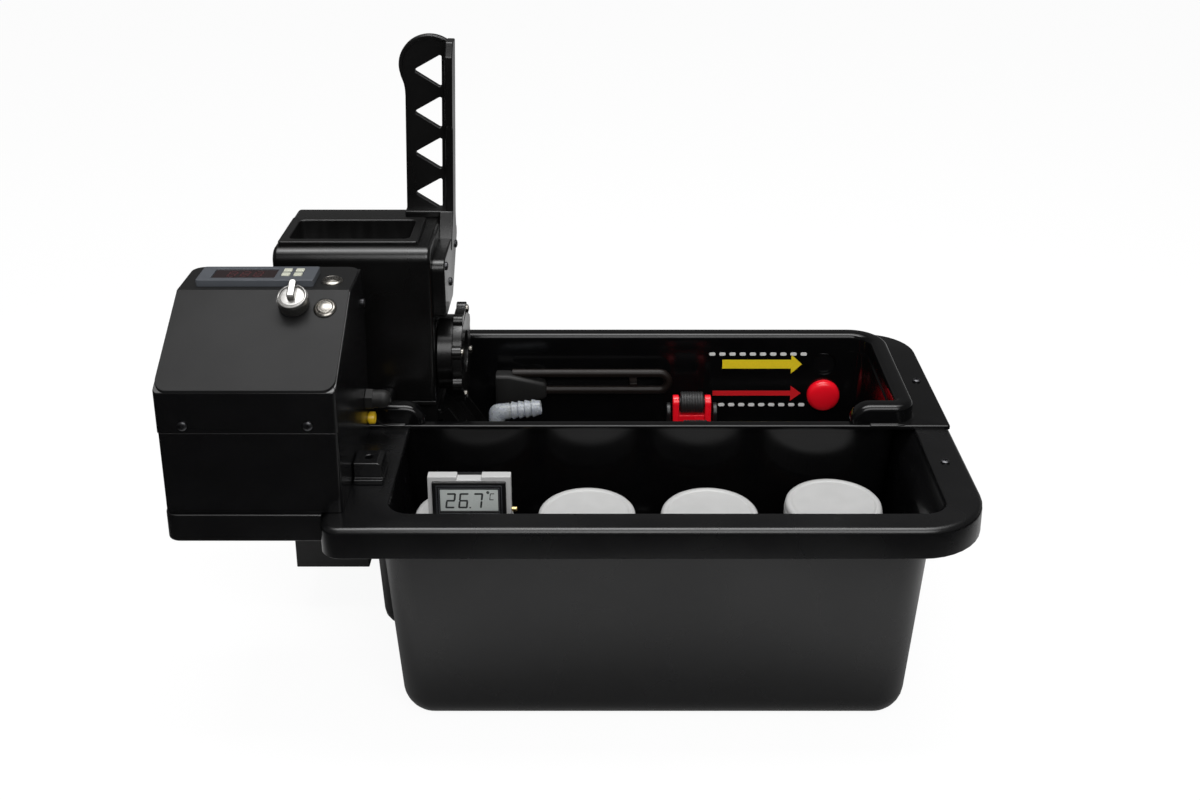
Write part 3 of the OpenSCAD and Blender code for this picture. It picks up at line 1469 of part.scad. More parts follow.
module roller_yokes() {
    z0 = trough_z0 + 3 + fit_gap + carriage_t;
    half = yoke_w / 2;
    color("#c4101a")
    for (side = [-1, 1]) {
        translate([roller_x, spindle_y + side * roller_half_gap, 0]) {
            difference() {
                union() {
                    translate([-half + 3.5, -4.5, z0]) cube([yoke_w - 7, 9, roller_z - z0 - roller_r - 1]);
                    for (sx = [-1, 1]) {
                        along_x(sx * (half - 2.4) - 2.4, sx * (half - 2.4) + 2.4) {
                            translate([-5.5, roller_z - roller_r - 12]) square([11, roller_r + 12]);
                            translate([0, roller_z]) circle(5.5);
                        }
                    }
                }
                rod_x(-half - cut, half + cut, 0, roller_z, 2 + seat_gap);
            }
        }
    }
}

module roller_axles() {
    color("#e8e6e0")
    for (side = [-1, 1]) {
        rod_x(roller_x - yoke_w / 2 + 0.3, roller_x + yoke_w / 2 - 0.3, spindle_y + side * roller_half_gap, roller_z, 2);
    }
}

module roller(side) {
    half = roller_len / 2;
    y = spindle_y + side * roller_half_gap;
    color("#1d1d1e")
    difference() {
        union() {
            rod_x(roller_x - half + 0.8, roller_x + half - 0.8, y, roller_z, roller_r);
            rod_x(roller_x - half, roller_x + half, y, roller_z, roller_r - 0.8);
            rod_x(roller_x - half - 0.7, roller_x + half + 0.7, y, roller_z, 4);
        }
        rod_x(roller_x - half - 2, roller_x + half + 2, y, roller_z, 2 + slip);
    }
}

module rear_roller() { roller(1); }
module front_roller() { roller(-1); }

// Bottles

module bottle(i) {
    p = bottle_pos(i);
    r = bottle_r;
    w = bottle_wall;
    foot = basin_floor_r;
    color("#3a2418")
    translate([p[0], p[1], 0]) {
        difference() {
            union() {
                rotate_extrude($fn = 96) {
                    polygon([
                        [0, bottle_z0], [r - foot, bottle_z0], [r, bottle_z0 + foot], [r, shoulder_z - 5],
                        [neck_r, shoulder_z], [neck_r, neck_top], [0, neck_top]
                    ]);
                    intersection() {
                        translate([r - foot, bottle_z0 + foot]) circle(foot);
                        square([r, bottle_z0 + foot]);
                    }
                }
            }
            rotate_extrude($fn = 96) {
                polygon([
                    [0, bottle_z0 + w], [r - foot, bottle_z0 + w], [r - w, bottle_z0 + foot], [r - w, shoulder_z - 5.5],
                    [neck_r - w, shoulder_z - 0.8], [neck_r - w, neck_top + cut], [0, neck_top + cut]
                ]);
            }
        }
    }
}

module bottle_cap(i) {
    p = bottle_pos(i);
    z0 = cap_top - cap_h;
    color("#f1f1ee")
    translate([p[0], p[1], 0]) {
        difference() {
            union() {
                rod_z(z0, cap_top - 1, 0, 0, cap_r);
                rod_z(z0, cap_top, 0, 0, cap_r - 1);
            }
            rod_z(z0 - cut, neck_top + 0.2, 0, 0, neck_r + fit_gap);
        }
    }
}

module bottle_1() { bottle(0); }
module bottle_2() { bottle(1); }
module bottle_3() { bottle(2); }
module bottle_4() { bottle(3); }
module bottle_cap_1() { bottle_cap(0); }
module bottle_cap_2() { bottle_cap(1); }
module bottle_cap_3() { bottle_cap(2); }
module bottle_cap_4() { bottle_cap(3); }

module thermometer_holder() {
    color("#eeeeea")
    translate([holder_x0, holder_y0, holder_z0]) {
        difference() {
            union() {
                translate([0, 0, 0]) cube([holder_w, holder_t, holder_h]);
                translate([0, 0, 0]) cube([holder_w, 18, 2]);
            }
            translate([(holder_w - bezel_frame[0]) / 2 + 1, -cut, 3.4]) cube([bezel_frame[0] - 2, holder_t + 2 * cut, bezel_frame[1] - 2]);
            translate([holder_w / 2 - 8, -cut, holder_h - 2.4]) cube([16, holder_t + 2 * cut, 4]);
        }
    }
}

module thermometer() {
    color(BLACK)
    translate([holder_x0 + (holder_w - bezel_frame[0]) / 2, holder_y0, holder_z0 + 2.4]) {
        difference() {
            union() {
                translate([0, -2.2, 0]) cube([bezel_frame[0], 2.2, bezel_frame[1]]);
                translate([1.1, -1, 1.1]) cube([bezel_frame[0] - 2.2, 15, bezel_frame[1] - 2.2]);
            }
            translate([5, -3.2, 7.5]) cube([bezel_frame[0] - 10, 1.6, bezel_frame[1] - 12.6]);
        }
    }
}

tub_body();
drum_trough();
level_marks();
drain_plug();
bottle_rails();
fixing_screws();
box_platform();
box_lower_shell();
box_upper_cover();
box_panel();
box_clamp();
controller_case();
controller_window();
controller_key_1();
controller_key_2();
controller_key_3();
controller_key_4();
button_bezels();
upper_button();
lower_button();
selector_switch();
selector_knob();
circuit_board();
power_supply();
power_inlet();
box_gland();
fuse_cap();
lift_base();
hinge_pin();
lift_housing();
lift_back_cover();
funnel_tray();
lift_lever();
lift_screws();
gear_motor();
motor_pinion();
spindle();
spindle_bearings();
drum_coupling();
coupling_screws();
drip_chute();
circulation_pump();
pump_elbow();
water_heater();
roller_carriage();
roller_yokes();
roller_axles();
rear_roller();
front_roller();
bottle_1();
bottle_2();
bottle_3();
bottle_4();
bottle_cap_1();
bottle_cap_2();
bottle_cap_3();
bottle_cap_4();
thermometer_holder();
thermometer();
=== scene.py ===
import json
import math

import bmesh
import bpy
import numpy as np
from mathutils import Matrix, Vector
from mathutils.geometry import tessellate_polygon

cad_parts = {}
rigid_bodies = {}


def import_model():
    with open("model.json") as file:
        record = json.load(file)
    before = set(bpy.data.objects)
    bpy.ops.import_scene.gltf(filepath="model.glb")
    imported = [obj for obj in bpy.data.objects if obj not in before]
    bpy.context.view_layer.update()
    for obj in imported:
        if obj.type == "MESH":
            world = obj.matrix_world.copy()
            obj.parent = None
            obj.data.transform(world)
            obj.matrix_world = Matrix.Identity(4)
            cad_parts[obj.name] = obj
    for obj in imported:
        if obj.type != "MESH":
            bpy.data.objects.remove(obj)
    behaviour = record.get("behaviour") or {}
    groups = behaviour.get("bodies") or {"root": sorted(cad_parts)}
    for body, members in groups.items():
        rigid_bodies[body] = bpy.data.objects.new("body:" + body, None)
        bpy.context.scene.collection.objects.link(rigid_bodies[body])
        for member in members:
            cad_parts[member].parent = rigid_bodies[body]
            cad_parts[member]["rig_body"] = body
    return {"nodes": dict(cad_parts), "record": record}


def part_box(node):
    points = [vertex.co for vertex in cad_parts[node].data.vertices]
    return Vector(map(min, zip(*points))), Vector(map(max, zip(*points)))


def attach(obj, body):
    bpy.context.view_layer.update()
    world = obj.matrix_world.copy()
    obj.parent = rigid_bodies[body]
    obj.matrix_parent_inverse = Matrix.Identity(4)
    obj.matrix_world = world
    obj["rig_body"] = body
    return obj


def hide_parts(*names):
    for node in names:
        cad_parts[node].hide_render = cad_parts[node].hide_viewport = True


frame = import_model()

bl_info = {
    "name": "Film processor",
    "version": (1, 0, 0),
    "blender": (4, 5, 0),
    "location": "3D View > Sidebar > Film processor",
    "description": "Dresses the semi-automatic film processor and sets up its studio",
    "category": "Object",
}

MM = 0.001
RIGHT, BACK, UP = (1, 0, 0), (0, 1, 0), (0, 0, 1)
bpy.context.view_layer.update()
BUILT = {}

# Sizes that the pieces share, in millimetres. They repeat the solids' own sizes.
FLANGE_X = 207.0
FLANGE_Y = 141.5
FLANGE_TOP = 167.0
SKIRT_BOTTOM = 146.5
FLANGE_RADII = (13.0, 45.0, 34.0, 30.0)
BASIN = (-176.0, 176.4, -125.3, 125.3)
SIDE_LEAN = 9.5
FRONT_LEAN = 14.8
PLATE_TOP = 170.0
TROUGH = (-181.0, 170.0, -6.5, 108.5)
TROUGH_FLOOR = 89.0
RIM_TOP = 184.0
RIM_HALF = 6.5
SPINDLE_Y = 50.5
SPINDLE_Z = 197.0
LIFT_LEFT = -262.0
LIFT_RIGHT = -153.0
LIFT_FRONT = 17.5
LIFT_SEAM = 103.5
LIFT_BACK = 106.5
LIFT_FOOT = 173.5
LIFT_TOP = 288.0
HINGE_X = -257.5
HINGE_Z = 178.0
RIB_X = -149.0
LEVEL_HOLE_X = 138.0
LEVEL_HOLES_Z = (159.0, 133.0)
CASE_RIGHT = -194.0
CASE_FRONT = -122.5
SLOPE_FOOT = 251.0
CASE_TOP = 290.0
SLOPE_DEPTH = 64.0
BOTTLES = [(-125.8, -67.5), (-44.3, -67.5), (37.2, -67.5), (121.2, -55.5)]
HEAD_HEIGHT = 0.0018  # a pan-head screw's, in metres


# Materials

def with_settings(thing, **settings):
    for name, value in settings.items():
        setattr(thing, name, value)
    return thing


def feed(socket, value):
    """Links another node's output to a socket, or sets a plain value on it."""
    if isinstance(value, bpy.types.NodeSocket):
        socket.id_data.links.new(value, socket)
    else:
        socket.default_value = value


def new_node(tree, kind, values=(), **settings):
    """Adds a node with its settings; values are (input, value or output) pairs."""
    node = with_settings(tree.nodes.new(kind), **settings)
    for key, value in values:
        feed(node.inputs[key], value)
    return node


def shader(name, colour, roughness, *more):
    """A new material with a Principled shader, whose even values are set on the shader's own sockets."""
    mat = bpy.data.materials.new(name)
    mat.use_nodes = True
    bsdf = mat.node_tree.nodes["Principled BSDF"]
    for key, value in (("Base Color", (*colour, 1.0)), ("Roughness", roughness), ("IOR", 1.5), *more):
        feed(bsdf.inputs[key], value)
    return mat, bsdf


def object_noise(bsdf, scale, detail=3.0, stretch=(1.0, 1.0, 1.0)):
    """The values of a noise texture on Object coordinates; scale counts cells per metre."""
    coords = new_node(bsdf.id_data, "ShaderNodeTexCoord").outputs["Object"]
    mapping = new_node(bsdf.id_data, "ShaderNodeMapping", [("Vector", coords), ("Scale", stretch)])
    values = [("Vector", mapping.outputs["Vector"]), ("Scale", scale), ("Detail", detail)]
    return new_node(bsdf.id_data, "ShaderNodeTexNoise", values).outputs["Fac"]


def vary_gloss(bsdf, source, low, high):
    """Spreads a texture's values between two roughnesses."""
    values = [("Value", source), ("From Min", 0.3), ("From Max", 0.7), ("To Min", low), ("To Max", high)]
    ramp = new_node(bsdf.id_data, "ShaderNodeMapRange", values)
    feed(bsdf.inputs["Roughness"], ramp.outputs["Result"])


def vary_colour(bsdf, source, dark, light):
    """Turns a texture's values into a colour between dark and light."""
    ramp = new_node(bsdf.id_data, "ShaderNodeValToRGB", [("Fac", source)])
    for stop, position, colour in zip(ramp.color_ramp.elements, (0.35, 0.65), (dark, light)):
        with_settings(stop, position=position, color=(*colour, 1.0))
    feed(bsdf.inputs["Base Color"], ramp.outputs["Color"])


def relief(bsdf, source, height, under=None):
    """Raises the surface by a texture; under is an earlier relief that this one lies on."""
    values = [("Height", source), ("Distance", height), ("Strength", 1.0)]
    if under is not None:
        values.append(("Normal", under))
    bump = new_node(bsdf.id_data, "ShaderNodeBump", values)
    feed(bsdf.inputs["Normal"], bump.outputs["Normal"])
    return bump.outputs["Normal"]


def moulded(name, colour, roughness, grain, depth=0.00002, vary=0.05, specular=0.5):
    """Injection-moulded plastic: a fine grain over slow changes of gloss."""
    mat, bsdf = shader(name, colour, roughness, ("Specular IOR Level", specular))
    vary_gloss(bsdf, object_noise(bsdf, 14.0, 4.0), roughness - vary, roughness + vary)
    lighter = tuple(min(1.0, c * 1.06 + 0.0006) for c in colour)
    vary_colour(bsdf, object_noise(bsdf, 60.0, 5.0), colour, lighter)
    relief(bsdf, object_noise(bsdf, grain, 2.0), depth)
    return mat


def layered(name, colour, roughness):
    """Plastic built up in layers across x, which show as fine upright lines."""
    pitch, depth = 0.0006, 0.00003
    mat, bsdf = shader(name, colour, roughness)
    coords = new_node(bsdf.id_data, "ShaderNodeTexCoord").outputs["Object"]
    values = [("Vector", coords), ("Scale", 0.314 / pitch), ("Distortion", 0.4), ("Detail", 1.0)]
    wave = new_node(bsdf.id_data, "ShaderNodeTexWave", values, bands_direction="X", wave_profile="SIN")
    layers = relief(bsdf, wave.outputs["Fac"], depth)
    relief(bsdf, object_noise(bsdf, 1500.0), depth * 0.5, layers)
    slow = object_noise(bsdf, 22.0, 4.0, (6.0, 1.0, 1.0))
    vary_gloss(bsdf, slow, roughness - 0.06, roughness + 0.06)
    vary_colour(bsdf, slow, colour, tuple(c * 1.25 for c in colour))
    return mat


def worked_metal(name, colour, roughness, stretch=(1.0, 1.0, 1.0)):
    """Metal with the fine lines of its machining drawn out along one direction."""
    mat, bsdf = shader(name, colour, roughness, ("Metallic", 1.0))
    lines = object_noise(bsdf, 2400.0, 3.0, stretch)
    vary_gloss(bsdf, lines, roughness - 0.07, roughness + 0.09)
    relief(bsdf, lines, 0.000006)
    vary_colour(bsdf, object_noise(bsdf, 240.0, 4.0), tuple(c * 0.86 for c in colour), colour)
    return mat


def milky_clear(name, colour):
    """Cloudy plastic that lets a little light through."""
    mat, bsdf = shader(
        name, colour, 0.28, ("IOR", 1.46), ("Transmission Weight", 0.35), ("Subsurface Weight", 0.6),
        ("Subsurface Radius", (0.004, 0.004, 0.005)), ("Subsurface Scale", 1.0),
    )
    vary_gloss(bsdf, object_noise(bsdf, 300.0), 0.2, 0.34)
    return mat


def dark_window(name, colour):
    """A glossy dark pane with faint smears."""
    mat, bsdf = shader(name, colour, 0.12, ("Coat Weight", 0.4))
    vary_gloss(bsdf, object_noise(bsdf, 90.0, 4.0), 0.09, 0.2)
    return mat


def printed(name, colour):
    """Printed film: flat colour with a faint grain."""
    mat, bsdf = shader(name, colour, 0.42)
    vary_colour(bsdf, object_noise(bsdf, 900.0), tuple(c * 0.94 for c in colour), colour)
    return mat


def circuit_green(name):
    """A lacquered circuit board with lighter tracks."""
    mat, bsdf = shader(name, (0.015, 0.12, 0.045), 0.35, ("Coat Weight", 0.3))
    coords = new_node(bsdf.id_data, "ShaderNodeTexCoord").outputs["Object"]
    values = [("Vector", coords), ("Scale", 260.0)]
    tracks = new_node(bsdf.id_data, "ShaderNodeTexVoronoi", values, distance="MANHATTAN")
    vary_colour(bsdf, tracks.outputs["Distance"], (0.01, 0.09, 0.035), (0.03, 0.2, 0.07))
    return mat


def make_materials(look):
    black = tuple(look.tub_black)
    deep_black = tuple(c * 0.8 for c in black)
    lift = tuple(look.lift_black)
    charcoal = tuple(look.panel_charcoal)
    made = {
        "tub": moulded("satin_tub_plastic", black, 0.27, 1700.0, 0.00003, 0.05),
        "trough": moulded("glossy_trough_plastic", deep_black, 0.15, 900.0, 0.00001, 0.04, 0.32),
        "case": moulded("matt_case_plastic", black, 0.42, 3000.0, 0.00004, 0.05),
        "gloss_case": moulded("smooth_case_plastic", black, 0.24, 1200.0, 0.00001, 0.04),
        "lift": layered("layered_lift_plastic", lift, 0.34),
        "lift_smooth": moulded("smoothed_lift_plastic", lift, 0.26, 1300.0, 0.00002, 0.06),
        "sheet": moulded("charcoal_coated_sheet", charcoal, 0.52, 4200.0, 0.00003, 0.04, 0.24),
        "slate": moulded("slate_controller_plastic", (0.075, 0.082, 0.094), 0.38, 3000.0, 0.00002, 0.05),
        "window": dark_window("dark_display_window", (0.012, 0.003, 0.004)),
        "unlit": printed("unlit_display_segment", (0.05, 0.012, 0.014)),
        "key": moulded("pale_key_plastic", (0.56, 0.57, 0.47), 0.45, 2500.0, 0.00002),
        "steel": worked_metal("turned_steel", (0.3, 0.285, 0.26), 0.24),
        "dark_steel": worked_metal("blackened_screw_steel", (0.09, 0.09, 0.095), 0.34),
        "knob": worked_metal("turned_knob_metal", (0.32, 0.315, 0.305), 0.3, (1.0, 1.0, 6.0)),
        "aluminium": worked_metal("pressed_aluminium", (0.6, 0.61, 0.62), 0.36, (0.2, 1.0, 1.0)),
        "motor": worked_metal("motor_can_steel", (0.4, 0.41, 0.42), 0.34, (0.1, 1.0, 1.0)),
        "brass": worked_metal("cut_brass", (0.75, 0.55, 0.24), 0.26),
        "board": circuit_green("green_circuit_board"),
        "fuse": moulded("yellow_fuse_plastic", (0.75, 0.48, 0.01), 0.3, 1800.0),
        "acetal": moulded("ivory_spindle_plastic", (0.72, 0.7, 0.62), 0.34, 1800.0),
        "milky": milky_clear("milky_hose_plastic", (0.5, 0.53, 0.57)),
        "heater": moulded("dark_heater_sheath", (0.008, 0.0055, 0.0045), 0.42, 700.0, 0.00004, specular=0.25),
        "boot": moulded("matt_boot_rubber", (0.009, 0.0088, 0.0085), 0.55, 2600.0, 0.00005, specular=0.35),
        "rubber": moulded("roller_rubber", (0.014, 0.014, 0.0145), 0.5, 1500.0, 0.00006, specular=0.4),
        "red": moulded("glossy_red_plastic", tuple(look.red), 0.26, 1600.0, 0.00002),
        "white": moulded("matt_white_plastic", tuple(look.white), 0.46, 2200.0, 0.00003, 0.05),
        "amber": moulded("dark_bottle_plastic", (0.045, 0.02, 0.01), 0.18, 500.0, 0.00003),
        "yellow_print": printed("yellow_print", (0.98, 0.74, 0.02)),
        "red_print": printed("red_print", (0.72, 0.012, 0.018)),
        "white_print": printed("white_print", (0.84, 0.84, 0.82)),
        "lcd": printed("pale_display_glass", (0.6, 0.64, 0.62)),
        "lcd_digit": printed("dark_display_digit", (0.03, 0.035, 0.035)),
        "frame_grey": moulded("grey_display_frame", (0.06, 0.062, 0.07), 0.3, 2500.0, 0.00002),
    }
    BUILT.update(made)


# Shapes

def quarter_turn(steps):
    """Runs round a quarter circle of radius 1 that eases from one line into another."""
    for k in range(steps + 1):
        angle = math.radians(90.0 * k / steps)
        yield 1 - math.cos(angle), 1 - math.sin(angle)


def arc_points(centre, radius, start, stop, steps):
    """Points of a flat arc, from one angle in degrees to another."""
    angles = [math.radians(start + (stop - start) * k / steps) for k in range(steps + 1)]
    return [(centre[0] + radius * math.cos(a), centre[1] + radius * math.sin(a)) for a in angles]


class Shape:
    """Collects points and faces in millimetres, one material number for each face."""

    def __init__(self):
        self.points = []
        self.faces = []
        self.numbers = []

    def add(self, points, faces, number=0):
        first = len(self.points)
        self.points.extend(tuple(p) for p in points)
        self.faces.extend(tuple(first + i for i in face) for face in faces)
        self.numbers.extend([number] * len(faces))

    def loft(self, rings, number=0, close=True):
        """Joins rings of equal length into one skin, and closes its two ends."""
        count = len(rings[0])
        points = [p for ring in rings for p in ring]
        faces = []
        for row in range(len(rings) - 1):
            for i in range(count):
                j = (i + 1) % count
                a, b = row * count, (row + 1) * count
                faces.append((a + i, a + j, b + j, b + i))
        if close:
            faces.append(tuple(reversed(range(count))))
            faces.append(tuple((len(rings) - 1) * count + i for i in range(count)))
        self.add(points, faces, number)

    def lathe(self, profile, centre, axis, steps, number=0, hollow=False):
        """Turns (radius, height) points about an axis through centre; a hollow profile goes round a bore."""
        turn = Vector(UP).rotation_difference(Vector(axis))
        centre = Vector(centre)
        rings = []
        for radius, height in profile:
            ring = []
            for k in range(steps):
                angle = 2 * math.pi * k / steps
                p = Vector((radius * math.cos(angle), radius * math.sin(angle), height))
                ring.append(centre + turn @ p)
            rings.append(ring)
        if hollow:
            rings.append(rings[0])
        self.loft(rings, number, not hollow)

    def slab(self, loops, low, high, edges, to_space, number=0, steps=4):
        """A plate with holes and rounded rims; the first loop runs anticlockwise, the holes clockwise."""
        levels = []
        for at, into, edge in ((low, 1, edges[0]), (high, -1, edges[1])):
            rows = [(at, edge + 0.15)]
            rows += [(at + into * edge * along, edge * out) for along, out in quarter_turn(steps)]
            rows.append((at + into * (edge + 0.15), 0.0))
            levels += rows if into > 0 else rows[::-1]
        caps = []
        for level in (levels[0], levels[-1]):
            flat = [offset_loop(loop, level[1]) for loop in loops]
            joined = [p for loop in flat for p in loop]
            triangles = tessellate_polygon([[Vector((p[0], p[1], 0)) for p in loop] for loop in flat])
            caps.append(([to_space(p[0], p[1], level[0]) for p in joined], triangles))
        for loop in loops:
            rings = [[to_space(p[0], p[1], at) for p in offset_loop(loop, inset)] for at, inset in levels]
            self.loft(rings, number, False)
        for points, triangles in caps:
            self.add(points, triangles, number)

    def block(self, low, high, soften=0.0, number=0):
        """A box whose twelve edges are rounded by soften."""
        bm = bmesh.new()
        bmesh.ops.create_cube(bm, size=1.0)
        low, high = Vector(low), Vector(high)
        for v in bm.verts:
            v.co = Vector(low[i] + (v.co[i] + 0.5) * (high[i] - low[i]) for i in range(3))
        if soften:
            bmesh.ops.bevel(bm, geom=bm.edges[:], offset=soften, segments=3, profile=0.5, affect="EDGES")
        self.take(bm, number)

    def take(self, bm, number=0):
        bm.verts.index_update()
        self.add([v.co[:] for v in bm.verts], [tuple(v.index for v in f.verts) for f in bm.faces], number)
        bm.free()

    def sweep(self, path, radius, sides=16, number=0):
        """A round rod along a path of points."""
        rings = []
        path = [Vector(p) for p in path]
        side = None
        for i, p in enumerate(path):
            along = (path[min(i + 1, len(path) - 1)] - path[max(i - 1, 0)]).normalized()
            if side is None:
                side = along.orthogonal().normalized()
            side = (side - along * side.dot(along)).normalized()
            other = along.cross(side)
            ring = []
            for k in range(sides):
                angle = 2 * math.pi * k / sides
                ring.append(p + radius * (math.cos(angle) * side + math.sin(angle) * other))
            rings.append(ring)
        self.loft(rings, number)

    def mesh(self, name, sharp=32.0):
        data = bpy.data.meshes.new(name)
        data.from_pydata([[c * MM for c in p] for p in self.points], [], self.faces)
        data.polygons.foreach_set("material_index", self.numbers)
        tidy_mesh(data, sharp)
        return data


def soft_corners(points, radii, steps=5):
    """A flat outline with its corners rounded, each by its own radius."""
    count = len(points)
    ring = []
    for i, radius in enumerate(radii):
        here = Vector(points[i])
        back, ahead = Vector(points[i - 1]) - here, Vector(points[(i + 1) % count]) - here
        half = back.angle(ahead) / 2
        if radius <= 0 or half > 1.5:
            ring.append(here)
            continue
        reach = radius / math.tan(half)
        back.normalize()
        ahead.normalize()
        centre = here + (back + ahead).normalized() * (radius / math.sin(half))
        start, end = here + back * reach - centre, here + ahead * reach - centre
        first = math.atan2(start.y, start.x)
        turn = (math.atan2(end.y, end.x) - first + math.pi) % (2 * math.pi) - math.pi
        for k in range(steps + 1):
            angle = first + turn * k / steps
            ring.append(centre + radius * Vector((math.cos(angle), math.sin(angle))))
    return ring


def offset_loop(points, by):
    """A flat outline moved to its own left."""
    moved = []
    count = len(points)
    for i in range(count):
        before, here, after = Vector(points[i - 1]), Vector(points[i]), Vector(points[(i + 1) % count])
        first, second = (here - before).normalized(), (after - here).normalized()
        middle = (Vector((-first.y, first.x)) + Vector((-second.y, second.x))).normalized()
        share = max(middle.dot(Vector((-first.y, first.x))), 0.4)
        moved.append(here + middle * (by / share))
    return moved


def rectangle(x0, x1, y0, y1, radius):
    return soft_corners([(x0, y0), (x1, y0), (x1, y1), (x0, y1)], [radius] * 4)


def tidy_mesh(data, sharp):
    """Merges doubles, turns faces outwards and shades smooth up to an angle."""
    bm = bmesh.new()
    bm.from_mesh(data)
    bmesh.ops.remove_doubles(bm, verts=bm.verts[:], dist=1e-6)
    bmesh.ops.recalc_face_normals(bm, faces=bm.faces[:])
    bm.to_mesh(data)
    bm.free()
    smooth_up_to(data, sharp)


def add_object(name, data):
    obj = bpy.data.objects.new(name, data)
    bpy.context.scene.collection.objects.link(obj)
    return obj


def place(name, data, materials, node, replaces=()):
    """Puts a finished mesh into the scene as a piece on the body of a CAD node."""
    body, slot = frame["nodes"][node]["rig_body"], slot_of_node(node)
    obj = add_object(name, data)
    data.materials.clear()
    for key in materials:
        data.materials.append(BUILT[key])
    if replaces:
        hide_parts(*replaces)
    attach(obj, body)


def slot_of_node(node):
    return next(part["material_slot"] for part in frame["record"]["subparts"] if part["node"] == node)


def piece(name, shape, materials, node, replaces=True, sharp=32.0):
    """A piece that replaces its CAD node unless told otherwise."""
    place(name, shape.mesh(name, sharp), materials, node, (node,) if replaces else ())


def turned(name, profile, centre, axis, steps, material, node, replaces=True, sharp=32.0):
    """A piece that is one profile turned about an axis."""
    shape = Shape()
    shape.lathe(profile, centre, axis, steps)
    piece(name, shape, [material], node, replaces, sharp)


def node_bmesh(node):
    bm = bmesh.new()
    bm.from_mesh(frame["nodes"][node].data)
    bmesh.ops.remove_doubles(bm, verts=bm.verts[:], dist=2e-6)
    return bm


def merged_copy(node):
    """A copy of a CAD node's mesh with its triangles joined into flat faces."""
    bm = node_bmesh(node)
    bmesh.ops.dissolve_limit(
        bm, angle_limit=math.radians(0.6), verts=bm.verts[:], edges=bm.edges[:], use_dissolve_boundaries=False
    )
    data = bpy.data.meshes.new(node + "_copy")
    bm.to_mesh(data)
    bm.free()
    return data


def evaluated_mesh(obj, name):
    """The object's mesh with its modifiers applied."""
    graph = bpy.context.evaluated_depsgraph_get()
    data = bpy.data.meshes.new_from_object(obj.evaluated_get(graph), preserve_all_data_layers=True, depsgraph=graph)
    data.name = name
    return data


def smooth_up_to(data, sharp):
    """Smooth shading, but for edges sharper than an angle in degrees."""
    data.shade_smooth()
    data.set_sharp_from_angle(angle=math.radians(sharp))


def dressed(node, material, soften):
    """Replaces a CAD node by a copy of it whose edges are softened."""
    name = node + "_skin"
    data = merged_copy(node)
    smooth_up_to(data, 30.0)
    helper = add_object(name + "_work", data)
    with_settings(
        helper.modifiers.new("soft_edges", "BEVEL"), width=soften * MM, segments=3, limit_method="ANGLE",
        angle_limit=math.radians(28), use_clamp_overlap=False, harden_normals=True,
    )
    soft = evaluated_mesh(helper, name)
    bpy.data.objects.remove(helper)
    place(name, soft, [material], node, (node,))


def paint(node, material):
    """Gives a CAD node that keeps its own mesh a material."""
    obj = frame["nodes"][node]
    obj.data.materials.clear()
    obj.data.materials.append(BUILT[material])


def rounded_ring(x0, x1, y0, y1, radii, z, steps=10):
    """An outline with its own radius at each corner: front left, front right, back right, back left."""
    corners = [
        (x0 + radii[0], y0 + radii[0], radii[0], 180.0),
        (x1 - radii[1], y0 + radii[1], radii[1], 270.0),
        (x1 - radii[2], y1 - radii[2], radii[2], 0.0),
        (x0 + radii[3], y1 - radii[3], radii[3], 90.0),
    ]
    ring = []
    for cx, cy, r, start in corners:
        ring += [(x, y, z) for x, y in arc_points((cx, cy), r, start, start + 90.0, steps)]
    return ring


def grown(rect, by, radii, z, steps=10):
    """A ring outside (or with a negative value inside) a rectangle, its radii changed alike."""
    x0, x1, y0, y1 = rect
    return rounded_ring(
        x0 - by, x1 + by, y0 - by, y1 + by, [max(r + by, 0.3) for r in radii], z, steps
    )


# Geometry Nodes

